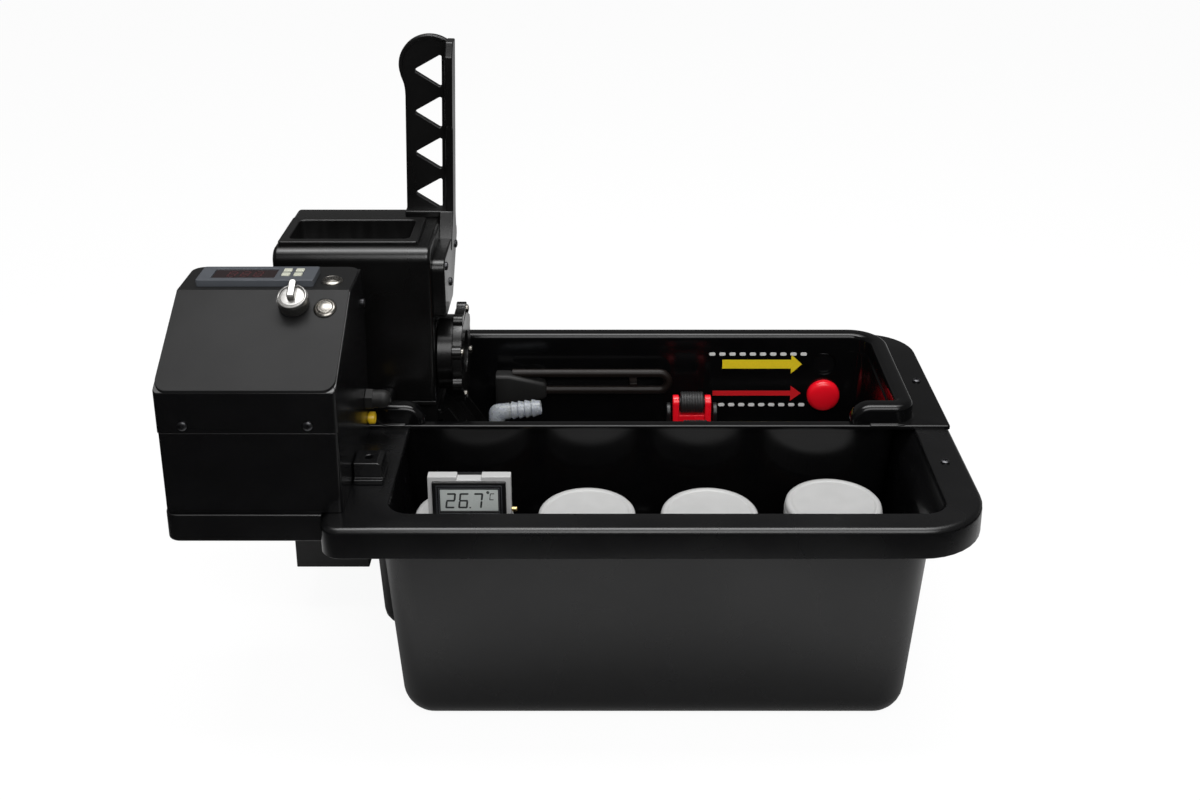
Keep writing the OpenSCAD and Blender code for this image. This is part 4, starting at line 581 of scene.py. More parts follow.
class Recipe:
    """A Geometry Nodes tree with named inputs, ended by Realize Instances and Set Material."""

    def __init__(self, name, lengths, counts=()):
        self.tree = bpy.data.node_groups.new(name, "GeometryNodeTree")
        face = self.tree.interface
        face.new_socket(name="Geometry", in_out="INPUT", socket_type="NodeSocketGeometry")
        kinds = [(label, "NodeSocketFloat") for label in lengths]
        kinds += [(label, "NodeSocketInt") for label in counts]
        kinds.append(("Material", "NodeSocketMaterial"))
        self.ids = {
            label: face.new_socket(name=label, in_out="INPUT", socket_type=kind).identifier for label, kind in kinds
        }
        face.new_socket(name="Geometry", in_out="OUTPUT", socket_type="NodeSocketGeometry")
        self.take = self.tree.nodes.new("NodeGroupInput").outputs
        self.leave = self.tree.nodes.new("NodeGroupOutput")

    def node(self, kind, *values, **settings):
        return new_node(self.tree, kind, values, **settings)

    def maths(self, operation, *values):
        return self.node("ShaderNodeMath", *enumerate(values), operation=operation).outputs[0]

    def vector(self, *values):
        return self.node("ShaderNodeCombineXYZ", *enumerate(values)).outputs[0]

    def cylinder(self, sides, radius, depth, *more, ends="NGON"):
        values = (("Vertices", sides), ("Radius", radius), ("Depth", depth), *more)
        return self.node("GeometryNodeMeshCylinder", *values, fill_type=ends).outputs["Mesh"]

    def instances(self, points, instance, *more):
        values = (("Points", points), ("Instance", instance), *more)
        return self.node("GeometryNodeInstanceOnPoints", *values).outputs[0]

    def place_of_points(self):
        """The x, y and z of each point."""
        where = self.node("GeometryNodeInputPosition").outputs[0]
        return self.node("ShaderNodeSeparateXYZ", (0, where)).outputs

    def on_axes(self, instance):
        """Instances on the points, turned so that their z follows the points' axis attribute."""
        named = self.node("GeometryNodeInputNamedAttribute", ("Name", "axis"), data_type="FLOAT_VECTOR")
        align = self.node("FunctionNodeAlignRotationToVector", ("Vector", named.outputs["Attribute"]), axis="Z")
        return self.instances(self.take["Geometry"], instance, ("Rotation", align.outputs["Rotation"]))

    def end(self, source):
        realize = self.node("GeometryNodeRealizeInstances", (0, source))
        values = (("Geometry", realize.outputs[0]), ("Material", self.take["Material"]))
        feed(self.leave.inputs[0], self.node("GeometryNodeSetMaterial", *values).outputs[0])
        return self


def screw_recipe():
    """Pan heads with a cross recess, their seat at the point."""
    r = Recipe("pan_head_screws", ("Head Radius", "Head Height", "Recess"))
    size, height, recess = (r.take[k] for k in ("Head Radius", "Head Height", "Recess"))
    segments = (("Side Segments", 2), ("Fill Segments", 5))
    head = r.cylinder(28, size, height, *segments, ends="TRIANGLE_FAN")
    x, y, z = r.place_of_points()
    flat = r.maths("SQRT", r.maths("ADD", r.maths("POWER", x, 2.0), r.maths("POWER", y, 2.0)))
    share = r.maths("POWER", r.maths("DIVIDE", flat, size), 3.0)
    top = r.maths("GREATER_THAN", z, 0.00001)
    drop = r.maths("MULTIPLY", r.maths("MULTIPLY", share, top), r.maths("MULTIPLY", height, -0.45))
    rise = r.vector(0.0, 0.0, r.maths("ADD", drop, r.maths("MULTIPLY", height, 0.5)))
    dome = r.node("GeometryNodeSetPosition", ("Geometry", head), ("Offset", rise))
    cut = r.node("GeometryNodeMeshBoolean", ("Mesh 1", dome.outputs[0]), operation="DIFFERENCE")
    thin = r.maths("MULTIPLY", recess, 0.24)
    up = r.vector(0.0, 0.0, height)
    for sides in ((recess, thin), (thin, recess)):
        bar = r.node("GeometryNodeMeshCube", ("Size", r.vector(*sides, height))).outputs["Mesh"]
        lifted = r.node("GeometryNodeTransform", ("Geometry", bar), ("Translation", up))
        feed(cut.inputs["Mesh 2"], lifted.outputs[0])
    return r.end(r.on_axes(cut.outputs[0]))


def rib_recipe():
    """A ring of small round ribs about each point's axis."""
    r = Recipe("rib_ring", ("Ring Radius", "Rib Radius", "Rib Height"), ("Ribs",))
    ring = r.node("GeometryNodeMeshCircle", ("Vertices", r.take["Ribs"]), ("Radius", r.take["Ring Radius"]))
    rib = r.cylinder(8, r.take["Rib Radius"], r.take["Rib Height"])
    return r.end(r.on_axes(r.instances(ring.outputs["Mesh"], rib)))


def dash_recipe():
    """A row of flat dashes with round ends that starts at each point and runs along x."""
    r = Recipe("dash_row", ("Row Length", "Dash Radius", "Dash Straight", "Thickness"), ("Dashes",))
    reach = r.vector(r.take["Row Length"], 0.0, 0.0)
    line = r.node("GeometryNodeMeshLine", ("Count", r.take["Dashes"]), ("Offset", reach), mode="END_POINTS")
    dash = r.cylinder(18, r.take["Dash Radius"], r.take["Thickness"])
    side = r.maths("SIGN", r.maths("SNAP", r.place_of_points()[0], 0.00001))
    apart = r.vector(r.maths("MULTIPLY", side, r.take["Dash Straight"]), 0.0, 0.0)
    longer = r.node("GeometryNodeSetPosition", ("Geometry", dash), ("Offset", apart)).outputs[0]
    turn = (math.radians(90), 0, 0)
    upright = r.node("GeometryNodeTransform", ("Geometry", longer), ("Rotation", turn)).outputs[0]
    row = r.instances(line.outputs["Mesh"], upright)
    return r.end(r.instances(r.take["Geometry"], row))


def grow(name, recipe, points, axes, values, material, node, replaces=(), sharp=35.0):
    """Runs a recipe on points in millimetres, and leaves the result as one plain piece."""
    data = bpy.data.meshes.new(name + "_points")
    data.from_pydata([[c * MM for c in p] for p in points], [], [])
    layer = data.attributes.new("axis", "FLOAT_VECTOR", "POINT")
    layer.data.foreach_set("vector", [c for axis in axes for c in axis])
    helper = add_object(name + "_work", data)
    modifier = helper.modifiers.new(name, "NODES")
    modifier.node_group = recipe.tree
    for label, value in values.items():
        modifier[recipe.ids[label]] = value
    modifier[recipe.ids["Material"]] = BUILT[material]
    made = evaluated_mesh(helper, name)
    helper.modifiers.remove(modifier)
    bpy.data.objects.remove(helper)
    if not made.polygons:
        raise RuntimeError(name + " came out empty")
    tidy_mesh(made, sharp)
    place(name, made, [material], node, replaces)


def screw_places(node):
    """Where each screw of a CAD node has its seat, and the way its head faces."""
    bm = node_bmesh(node)
    bm.verts.index_update()
    reached = [False] * len(bm.verts)
    found = []
    for start in bm.verts:
        island = [] if reached[start.index] else [start]
        reached[start.index] = True
        for v in island:
            for w in (e.other_vert(v) for e in v.link_edges):
                if not reached[w.index]:
                    reached[w.index] = True
                    island.append(w)
        if island:
            found.append(np.array([v.co[:] for v in island]))
    bm.free()
    places = []
    for cloud in sorted(found, key=lambda c: tuple(np.round(c.mean(axis=0), 5))):
        middle = (cloud.min(axis=0) + cloud.max(axis=0)) / 2
        values, vectors = np.linalg.eigh(np.cov((cloud - middle).T))
        # The screw's axis is the one about which the other two spreads are alike.
        gaps = [abs(values[(i + 1) % 3] - values[(i + 2) % 3]) for i in range(3)]
        axis = vectors[:, int(np.argmin(gaps))]
        along = (cloud - middle) @ axis
        away = np.linalg.norm((cloud - middle) - np.outer(along, axis), axis=1)
        if along[int(np.argmax(away))] < 0:
            axis, along = -axis, -along
        tip = middle + axis * along.max() - axis * HEAD_HEIGHT
        rim = cloud[away > away.max() * 0.97]
        centre = (rim - tip).mean(axis=0)
        centre = centre - axis * (centre @ axis)
        places.append(((tip + centre) / MM, axis))
    return places


# Tub and trough

def tub_outer(z, inset=0.0, wall=0.0, radius=21.0):
    """The basin's outline at a height; its walls lean inwards towards the floor."""
    share = (FLANGE_TOP - z) / FLANGE_TOP
    side, front = SIDE_LEAN * share, FRONT_LEAN * share
    rect = (BASIN[0] + wall + side, BASIN[1] - wall - side, BASIN[2] + wall + front, BASIN[3] - wall - front)
    return grown(rect, -inset, (radius,) * 4, z)


def tub_inner(z, inset=0.0):
    return tub_outer(z, inset, 3.0, 18.0)


def make_tub_shape(edge):
    foot, inner_foot, lip = 20.0, 12.0, 1.6
    under, low = FLANGE_TOP - 3, SKIRT_BOTTOM + 0.6
    rings = [tub_outer(foot * up, foot * into) for up, into in quarter_turn(8)]
    rings += [tub_outer(z) for z in (50.0, 80.0, 110.0, 140.0, SKIRT_BOTTOM - 0.8)]
    collar = (-177.0, 191.0, -130.3, 127.3)
    for by, z in ((-0.6, SKIRT_BOTTOM), (0.0, low), (0.0, under)):
        rings.append(grown(collar, by, (21.0,) * 4, z))
    flange = (-FLANGE_X, FLANGE_X, -FLANGE_Y, FLANGE_Y)
    for by, z in ((-3.0, under), (-3.0, low), (-2.4, SKIRT_BOTTOM), (-0.6, SKIRT_BOTTOM), (0.0, low)):
        rings.append(grown(flange, by, FLANGE_RADII, z))
    rings += [grown(flange, -edge * into, FLANGE_RADII, FLANGE_TOP - edge * down) for into, down in quarter_turn(8)]
    bay = (15.0, 15.0, 8.0, 8.0)
    for down, out in quarter_turn(5):
        rings.append(grown((-168, 182, -121.5, 112), lip * out, bay, FLANGE_TOP - lip * down))
    rings.append(rounded_ring(-168, 181.2, -121.5, 112, bay, FLANGE_TOP - 2.6))
    rings.append(rounded_ring(-168, 180.6, -121.5, 112, bay, FLANGE_TOP - 3.4))
    rings.append(rounded_ring(-172.6, 180.3, -122, 112, (17, 15, 8, 8), FLANGE_TOP - 3.6))
    rings.append(rounded_ring(-171.8, 172.2, -120.4, 112, (18, 16, 8, 8), 146.0))
    rings += [tub_inner(z) for z in (143.5, 120.0, 90.0, 60.0, 30.0)]
    rings += [tub_inner(6.0 + inner_foot * up, inner_foot * into) for into, up in quarter_turn(6)]
    tub = Shape()
    tub.loft(rings)
    return tub


def make_bump_shape():
    """The widening of the basin at its rear left, which leaves room for the lift's leg."""
    rings = []
    foot = 18.0
    heights = [(foot * up, foot * into) for up, into in quarter_turn(6)]
    heights += [(z, 0.0) for z in (60.0, 100.0, 164.5)]
    for z, inset in heights:
        share = (FLANGE_TOP - z) / FLANGE_TOP
        x0 = -202.5 + SIDE_LEAN * share + inset
        x1 = BASIN[0] + 1.2 + SIDE_LEAN * share
        y1 = BASIN[3] - FRONT_LEAN * share - inset
        radius = max(20.0 - inset, 1.5)
        rings.append(rounded_ring(x0, x1, -16.0 + inset, y1, (min(radius, 12), 0.3, 0.3, min(radius, 12)), z, 8))
    bump = Shape()
    bump.loft(rings)
    return bump


def trough_inner(z, inset=0.0):
    share = (185.0 - z) / 96.0
    rect = (TROUGH[0] + 6 * share, TROUGH[1] - 6 * share, TROUGH[2] + 4 * share, TROUGH[3])
    return grown(rect, -inset, (14.0,) * 4, z)


def trough_outer(z, inset=0.0):
    share = (168.0 - z) / 81.5
    rect = (TROUGH[0] - 2.5 + 6 * share, TROUGH[1] + 2.5 - 6 * share, TROUGH[2] - 2.5 + 4 * share, TROUGH[3] + 2.5)
    return grown(rect, -inset, (16.5,) * 4, z)


def make_trough_shape():
    foot, floor = 11.0, 9.0
    rings = [trough_outer(86.5 + foot * up, foot * into) for up, into in quarter_turn(6)]
    rings += [trough_outer(z) for z in (120.0, 145.0, FLANGE_TOP - 0.02)]
    plate = (-FLANGE_X, FLANGE_X, -13.5, FLANGE_Y)
    radii = (2.0, 2.0, 34.0, 30.0)
    rings.append(grown(plate, 0.0, radii, FLANGE_TOP - 0.02))
    rings += [grown(plate, -1.2 * into, radii, PLATE_TOP - 1.2 * down) for into, down in quarter_turn(5)]
    for down, out in quarter_turn(5):
        ring = trough_inner(PLATE_TOP - 1.5 * down)
        rings.append([(p[0], p[1] - 1.5 * out * (p[1] < -3), p[2]) for p in ring])
    rings += [trough_inner(z) for z in (150.0, 130.0, 110.0)]
    rings += [trough_inner(TROUGH_FLOOR + floor * up, floor * into) for into, up in quarter_turn(6)]
    trough = Shape()
    trough.loft(rings)
    return trough


def rim_profile():
    """The rim's section with its rounded edges and its blended foot, as (distance across, height over the plate)."""
    edge, foot, top = 4.2, 2.0, RIM_TOP - PLATE_TOP
    points = [(-RIM_HALF - foot * out, foot * up) for up, out in quarter_turn(4)]
    points += arc_points((-RIM_HALF + edge, top - edge), edge, 180, 90, 6)
    points += arc_points((RIM_HALF - edge, top - edge), edge, 90, 0, 6)
    return points + [(RIM_HALF, 0.0)]


def rim_ring(x, y, heading, lay=0.0):
    """The bar's outline at a point of its path; lay turns it down about its foot, for a rounded end."""
    heading, lay = math.radians(heading), math.radians(lay)
    ahead = Vector((math.cos(heading), math.sin(heading), 0))
    across = Vector((math.sin(heading), -math.cos(heading), 0))
    ring = []
    for side, height in rim_profile():
        p = Vector((x, y, PLATE_TOP)) + across * side + ahead * height * math.sin(lay)
        p.z += height * math.cos(lay)
        ring.append(p)
    return ring


def rim_arc(cx, cy, radius, start, stop, steps=10):
    """Rings round a corner, on the outside of the turn if the path runs clockwise."""
    rings = []
    for k in range(steps + 1):
        a = start + (stop - start) * k / steps
        heading = a + (-90 if stop < start else 90)
        across, along = radius * math.cos(math.radians(a)), radius * math.sin(math.radians(a))
        rings.append(rim_ring(cx + across, cy + along, heading))
    return rings


def make_rim_shape():
    """The U-shaped rim; its left arm is cut short by the lift, and both of its front ends are rounded."""
    rim = Shape()
    xr, yb, yh = TROUGH[1] + RIM_HALF, TROUGH[3] + RIM_HALF, -6.0
    xl, big, small = TROUGH[0] - RIM_HALF, 20.5, 8.0
    cut_y = LIFT_BACK + 0.5
    above = cut_y - (yb - big)
    cut = []
    for side, height in rim_profile():
        radius = big - side
        a = math.pi - math.asin(above / radius)
        cut.append(Vector((xl + big + radius * math.cos(a), cut_y, PLATE_TOP + height)))
    first = math.degrees(math.asin(above / (big - RIM_HALF)))
    rings = [cut]
    rings += rim_arc(xl + big, yb - big, big, 180 - first - 3, 90, 4)
    rings += rim_arc(xr - big, yb - big, big, 90, 0, 12)
    rings += rim_arc(xr - small, yh + small, small, 0, -90, 10)
    lays = (88, 78, 66, 54, 42, 30, 18, 8, 0)
    rings += [rim_ring(xr - 24.5, yh, 180, lay) for lay in reversed(lays)]
    rim.loft(rings)
    left = [rim_ring(xl + 16, yh, 180, -lay) for lay in lays]
    left += rim_arc(xl + small, yh + small, small, 270, 180, 10)
    left += [rim_ring(xl, 16.5, 90)]
    rim.loft(left)
    return rim


def carved(name, data, cutters, sharp):
    """The mesh with each of the cutter shapes taken away from it."""
    helper = add_object(name + "_work", data)
    tools = []
    for i, shape in enumerate(cutters):
        tool = add_object(f"{name}_cutter_{i}", shape.mesh(f"{name}_cutter_{i}"))
        with_settings(helper.modifiers.new("cut", "BOOLEAN"), operation="DIFFERENCE", solver="EXACT", object=tool)
        tools.append(tool)
    made = evaluated_mesh(helper, name)
    for obj in [helper] + tools:
        bpy.data.objects.remove(obj)
    if not made.polygons:
        raise RuntimeError(name + " came out empty")
    smooth_up_to(made, sharp)
    return made


def round_cutter(centre, axis, radius, length):
    shape = Shape()
    shape.lathe([(0, -length / 2), (radius, -length / 2), (radius, length / 2), (0, length / 2)], centre, axis, 48)
    return shape


def block_cutter(low, high):
    shape = Shape()
    shape.block(low, high)
    return shape


def make_marks_shapes():
    y1, y0 = 108.5, 108.1

    def arrow(x0, length, z, body, head, head_len):
        flat = [
            (0, -body / 2), (length - head_len, -body / 2), (length - head_len, -head / 2), (length, 0),
            (length - head_len, head / 2), (length - head_len, body / 2), (0, body / 2),
        ]
        shape = Shape()
        shape.loft([[(x0 + px, y, z + pz) for px, pz in flat] for y in (y0, y1)])
        return shape

    return arrow(58.5, 62, 159, 7.4, 16, 8.4), arrow(51.5, 69, 134, 4, 12.8, 8)


# Settings that a user would change

def length_setting(name, text, default, low, high):
    return bpy.props.FloatProperty(name=name, description=text, default=default, min=low, max=high, unit="LENGTH")


def colour_setting(name, text, default):
    return bpy.props.FloatVectorProperty(
        name=name, description=text, default=default, size=3, min=0, max=1, subtype="COLOR"
    )


class FilmProcessorSizes(bpy.types.PropertyGroup):
    flange_edge: length_setting("Flange edge", "Radius of the tub flange's top edge", 0.004, 0.001, 0.005)
    soft_edge: length_setting("Soft edge", "Radius on the edges of the case and the lift", 0.0006, 0.0002, 0.001)
    screw_head: length_setting("Screw head", "Radius of a screw's head", 0.003, 0.0025, 0.0032)
    cap_ribs: bpy.props.IntProperty(
        name="Cap ribs", description="Ribs round each bottle cap", default=72, min=24, max=120
    )
    knob_ribs: bpy.props.IntProperty(
        name="Knob ribs", description="Fine ribs round the selector knob", default=56, min=24, max=90
    )


class FilmProcessorLook(bpy.types.PropertyGroup):
    tub_black: colour_setting("Tub black", "Colour of the tub, the trough and the case", (0.003, 0.003, 0.0033))
    lift_black: colour_setting("Lift black", "Colour of the lift's printed pieces", (0.0029, 0.0028, 0.0028))
    panel_charcoal: colour_setting("Panel charcoal", "Colour of the coated sheet on the case", (0.0058, 0.0058, 0.006))
    red: colour_setting("Red", "Colour of the plug and the roller yokes", (0.97, 0.007, 0.02))
    white: colour_setting("White", "Colour of the bottle caps and the thermometer's holder", (0.56, 0.56, 0.555))


class FilmProcessorStudio(bpy.types.PropertyGroup):
    top_light: bpy.props.FloatProperty(
        name="Top light", description="Power of the long lamp above", default=9.0, min=0, max=60, unit="POWER"
    )
    front_light: bpy.props.FloatProperty(
        name="Front light", description="Power of the broad lamp in front", default=18.0, min=0, max=80, unit="POWER"
    )
    surround: bpy.props.FloatProperty(
        name="Surround", description="Brightness of the room round the object", default=0.32, min=0, max=1
    )


# Operators

class FILMPROCESSOR_OT_tub(bpy.types.Operator):
    """Makes the tub with its skirted flange"""

    bl_idname = "film_processor.tub"
    bl_label = "Tub"

    def execute(self, context):
        edge = context.scene.film_sizes.flange_edge / MM
        piece("tub_shell", make_tub_shape(edge), ["tub"], "tub_body", sharp=40)
        piece("tub_bump", make_bump_shape(), ["tub"], "tub_body", replaces=False, sharp=40)
        dimple = [(0, 166.4), (1.3, 166.7), (2.0, 167.05), (2.4, 167.02), (2.4, 166), (0, 166)]
        turned("flange_dimple", dimple, (111, -128.8, 0), UP, 24, "case", "tub_body", replaces=False)
        dressed("bottle_rails", "case", 0.5)
        return {"FINISHED"}


class FILMPROCESSOR_OT_trough(bpy.types.Operator):
    """Makes the drum trough, its rim, its marks and its plug"""

    bl_idname = "film_processor.trough"
    bl_label = "Drum trough"

    def execute(self, context):
        holes = [round_cutter((LEVEL_HOLE_X, 109.5, z), BACK, 9.3, 12) for z in LEVEL_HOLES_Z]
        data = carved("trough_shell", make_trough_shape().mesh("trough_body", 40), holes, 40)
        place("trough_shell", data, ["trough"], "drum_trough", ("drum_trough",))
        piece("trough_rim", make_rim_shape(), ["trough"], "drum_trough", replaces=False, sharp=40)
        guides = Shape()
        for side in (-1, 1):
            y = SPINDLE_Y + side * 20
            guides.block((-77, y - 1.5, 88.5), (110, y + 1.5, 92), 0.6)
        piece("trough_guides", guides, ["trough"], "drum_trough", replaces=False)
        yellow, red = make_marks_shapes()
        piece("yellow_arrow", yellow, ["yellow_print"], "level_marks")
        piece("red_arrow", red, ["red_print"], "level_marks", replaces=False)
        dash = {"Dash Radius": 1.3 * MM, "Dash Straight": 1.2 * MM, "Thickness": 0.4 * MM}
        rows = (("upper_dashes", 10, 71.0, 50.5, 167.6), ("lower_dashes", 9, 63.0, 58.5, 124.0))
        recipe = dash_recipe()
        for name, count, length, x, z in rows:
            values = dict(dash, Dashes=count, **{"Row Length": length * MM})
            grow(name, recipe, [(x, 108.3, z)], [UP], values, "white_print", "level_marks", sharp=50)
        plug = [
            (0, -8.6), (4.0, -8.5), (8.0, -8.1), (10.4, -7.5), (11.8, -6.6), (12.5, -5.4), (12.8, -4.0),
            (12.8, -2.2), (12.5, -2.0), (9.2, -2.0), (9.2, 3.6), (8.6, 4.2), (0, 4.2),
        ]
        centre = (LEVEL_HOLE_X, 110.4, LEVEL_HOLES_Z[1])
        turned("drain_plug_look", plug, centre, BACK, 72, "red", "drain_plug", sharp=50)
        return {"FINISHED"}


class FILMPROCESSOR_OT_case(bpy.types.Operator):
    """Dresses the control box, its panel and its fittings"""

    bl_idname = "film_processor.case"
    bl_label = "Control box"

    def execute(self, context):
        soft = context.scene.film_sizes.soft_edge / MM
        dressed("box_platform", "gloss_case", soft * 1.6)
        dressed("box_lower_shell", "gloss_case", soft)
        dressed("box_upper_cover", "gloss_case", soft)
        dressed("box_panel", "sheet", 0.25)
        dressed("box_clamp", "gloss_case", 0.7)
        dressed("power_inlet", "case", 0.5)
        dressed("box_gland", "boot", 0.4)
        fuse = [(0, -14), (3.3, -14), (3.3, 0.2), (4.2, 0.3), (4.2, 3.6), (3.8, 4.3), (2.6, 4.4), (2.4, 4.1)]
        fuse.append((0, 4.1))
        turned("fuse_cap_look", fuse, (CASE_RIGHT, -21, 180), RIGHT, 48, "fuse", "fuse_cap", sharp=40)
        pins = Shape()
        inlet_y, inlet_z = -52.5, 193.0
        for y, z in ((inlet_y - 7, inlet_z - 1.5), (inlet_y + 7, inlet_z - 1.5), (inlet_y, inlet_z + 2.5)):
            pins.block((-305, y - 1, z - 2), (-287, y + 1, z + 2), 0.4)
        piece("inlet_pins", pins, ["steel"], "power_inlet", replaces=False)
        paint("circuit_board", "board")
        paint("power_supply", "aluminium")
        return {"FINISHED"}


def outline_of(node):
    """A CAD node's left, right, near and far side, in millimetres."""
    low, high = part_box(node)
    return low[0] / MM, high[0] / MM, low[1] / MM, high[1] / MM


def panel_frame(x, along, sloping):
    """A place on the case's panel: its seat, the way it faces, and a function from (x, y, out) into space."""
    rise = CASE_TOP - SLOPE_FOOT
    slope = math.atan2(rise, SLOPE_DEPTH) if sloping else 0.0
    if sloping:
        seat = Vector((x, CASE_FRONT + along * math.cos(slope), SLOPE_FOOT + along * math.sin(slope)))
    else:
        seat = Vector((x, CASE_FRONT + SLOPE_DEPTH + along, CASE_TOP))
    turn = Matrix.Rotation(slope, 4, "X")
    return seat, turn @ Vector(UP), lambda u, v, out: seat + turn @ Vector((u, v, out))


class FILMPROCESSOR_OT_controls(bpy.types.Operator):
    """Makes the temperature controller, the buttons and the selector knob"""

    bl_idname = "film_processor.controls"
    bl_label = "Controls"

    def execute(self, context):
        slope_length = math.hypot(SLOPE_DEPTH, CASE_TOP - SLOPE_FOOT)
        upper_button = panel_frame(-207.9, 14.6, False)
        lower_button = panel_frame(-207.7, slope_length - 14.4, True)
        selector = panel_frame(-227.2, slope_length - 12.5, True)
        self.controller()
        self.buttons(upper_button, lower_button)
        self.knob(context, selector)
        paint("selector_switch", "case")
        return {"FINISHED"}

    def controller(self):
        def pit(node, gap, radius):
            x0, x1, y0, y1 = outline_of(node)
            return rectangle(x0 - gap, x1 + gap, y0 - gap, y1 + gap, radius)[::-1]

        x0, x1, y0, y1 = outline_of("controller_case")
        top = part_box("controller_case")[1][2] / MM
        loops = [rectangle(x0, x1, y0, y1, 1.6), pit("controller_window", 0.15, 0.7)]
        for i in range(1, 5):
            loops.append(pit(f"controller_key_{i}", 0.25, 0.6))
            dressed(f"controller_key_{i}", "key", 0.5)
        case = Shape()
        case.slab(loops, CASE_TOP + 0.05, top, (0.05, 0.35), lambda u, v, out: (u, v, out))
        case.block((x0 + 3.3, y0 + 1.8, top - 38.4), (x1 - 3.3, y1 - 1.8, top - 2.6), 0.4)
        piece("controller_case_look", case, ["slate"], "controller_case", sharp=40)
        dressed("controller_window", "window", 0.15)
        unlit = Shape()
        left, _, near, _ = outline_of("controller_window")
        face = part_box("controller_window")[1][2] / MM - 0.02
        for k in range(3):
            corner = (left + 8.6 + k * 8.4, near + 2.9)
            seven_segments(unlit, "8", corner, 5.6, 9.0, lambda u, v, out: (u, v, face + out), 0.06)
        piece("unlit_digits", unlit, ["unlit"], "controller_window", replaces=False, sharp=80)

    def buttons(self, upper, lower):
        bezel = [
            (5.0, -11.5), (6.2, -11.5), (6.2, -0.5), (7.2, 0.02), (7.3, 0.3), (7.15, 0.6), (5.75, 1.55),
            (5.45, 1.6), (5.2, 1.4), (5.0, 0.9),
        ]
        button = [
            (0, -11), (4.85, -11), (4.85, 1.3), (4.7, 1.8), (4.2, 2.05), (3.75, 2.1), (3.55, 1.8), (3.35, 2.1),
            (2.4, 2.35), (1.2, 2.5), (0, 2.55),
        ]
        bezels = Shape()
        for seat, axis, _ in (upper, lower):
            bezels.lathe(bezel, seat, axis, 64, hollow=True)
        piece("button_bezels_look", bezels, ["steel"], "button_bezels", sharp=35)
        for node, (seat, axis, _) in (("upper_button", upper), ("lower_button", lower)):
            turned(node + "_look", button, seat, axis, 56, "steel", node, sharp=35)

    def knob(self, context, place_on_panel):
        seat, axis, to_space = place_on_panel
        profile = [
            (0, 0.9), (8.6, 0.9), (9.3, 1.2), (9.5, 1.8), (9.5, 9.2), (9.35, 10.0), (8.9, 10.5), (8.5, 10.6),
            (8.1, 10.4), (7.8, 9.9), (7.5, 9.7), (7.1, 9.8), (6.9, 10.1), (6.5, 10.2), (0, 10.2),
        ]
        knob = Shape()
        knob.lathe(profile, seat, axis, 96)
        knob.lathe([(0, -9.5), (3, -9.5), (3, 1.5), (0, 1.5)], seat, axis, 32)
        bar = soft_corners([(-2.4, -3.0), (2.4, -3.0), (2.4, 10.3), (-2.4, 10.3)], (1.0, 1.0, 2.35, 2.35), 8)
        knob.slab([bar], 9.9, 15.0, (0.05, 0.8), to_space)
        knob.lathe([(0, 14.9), (0.95, 14.9), (0.95, 15.08), (0, 15.08)], to_space(0, 8.0, 0), axis, 20, 1)
        knob.slab([rectangle(-2.0, 2.0, -3.1, -2.2, 0.4)], 10.4, 14.6, (0.05, 0.2), to_space, 1)
        piece("selector_knob_look", knob, ["knob", "case"], "selector_knob", sharp=30)
        sizes = context.scene.film_sizes
        values = {"Ring Radius": 9.45 * MM, "Rib Radius": 0.24 * MM, "Rib Height": 7.0 * MM, "Ribs": sizes.knob_ribs}
        grow("selector_ribs", rib_recipe(), [seat + axis * 5.4], [axis], values, "knob", "selector_knob", sharp=50)


def seven_segments(shape, digit, corner, width, height, to_space, thick, slant=0.12):
    """Adds a digit's bars; corner is its lower left, to_space turns (across, up, out) into the object's space."""
    lit = {"2": "abged", "6": "afgedc", "7": "abc", "8": "abcdefg", "C": "afed"}[digit]
    bar = width * 0.2
    half = height / 2
    gap = bar * 0.12
    spans = {
        "a": ((gap, height - bar), (width - gap, height)), "g": ((gap, half - bar / 2), (width - gap, half + bar / 2)),
        "d": ((gap, 0), (width - gap, bar)), "f": ((0, half + gap), (bar, height - gap)),
        "b": ((width - bar, half + gap), (width, height - gap)), "e": ((0, gap), (bar, half - gap)),
        "c": ((width - bar, gap), (width, half - gap)),
    }
    for key in lit:
        (x0, y0), (x1, y1) = spans[key]
        cut = bar * 0.45
        x, y = (x0 + x1) / 2, (y0 + y1) / 2
        if x1 - x0 > y1 - y0:
            flat = [(x0 + cut, y0), (x1 - cut, y0), (x1, y), (x1 - cut, y1), (x0 + cut, y1), (x0, y)]
        else:
            flat = [(x0, y0 + cut), (x, y0), (x1, y0 + cut), (x1, y1 - cut), (x, y1), (x0, y1 - cut)]
        rings = []
        for out in (0.0, thick):
            rings.append([to_space(corner[0] + px + slant * py, corner[1] + py, out) for px, py in flat])
        shape.loft(rings)


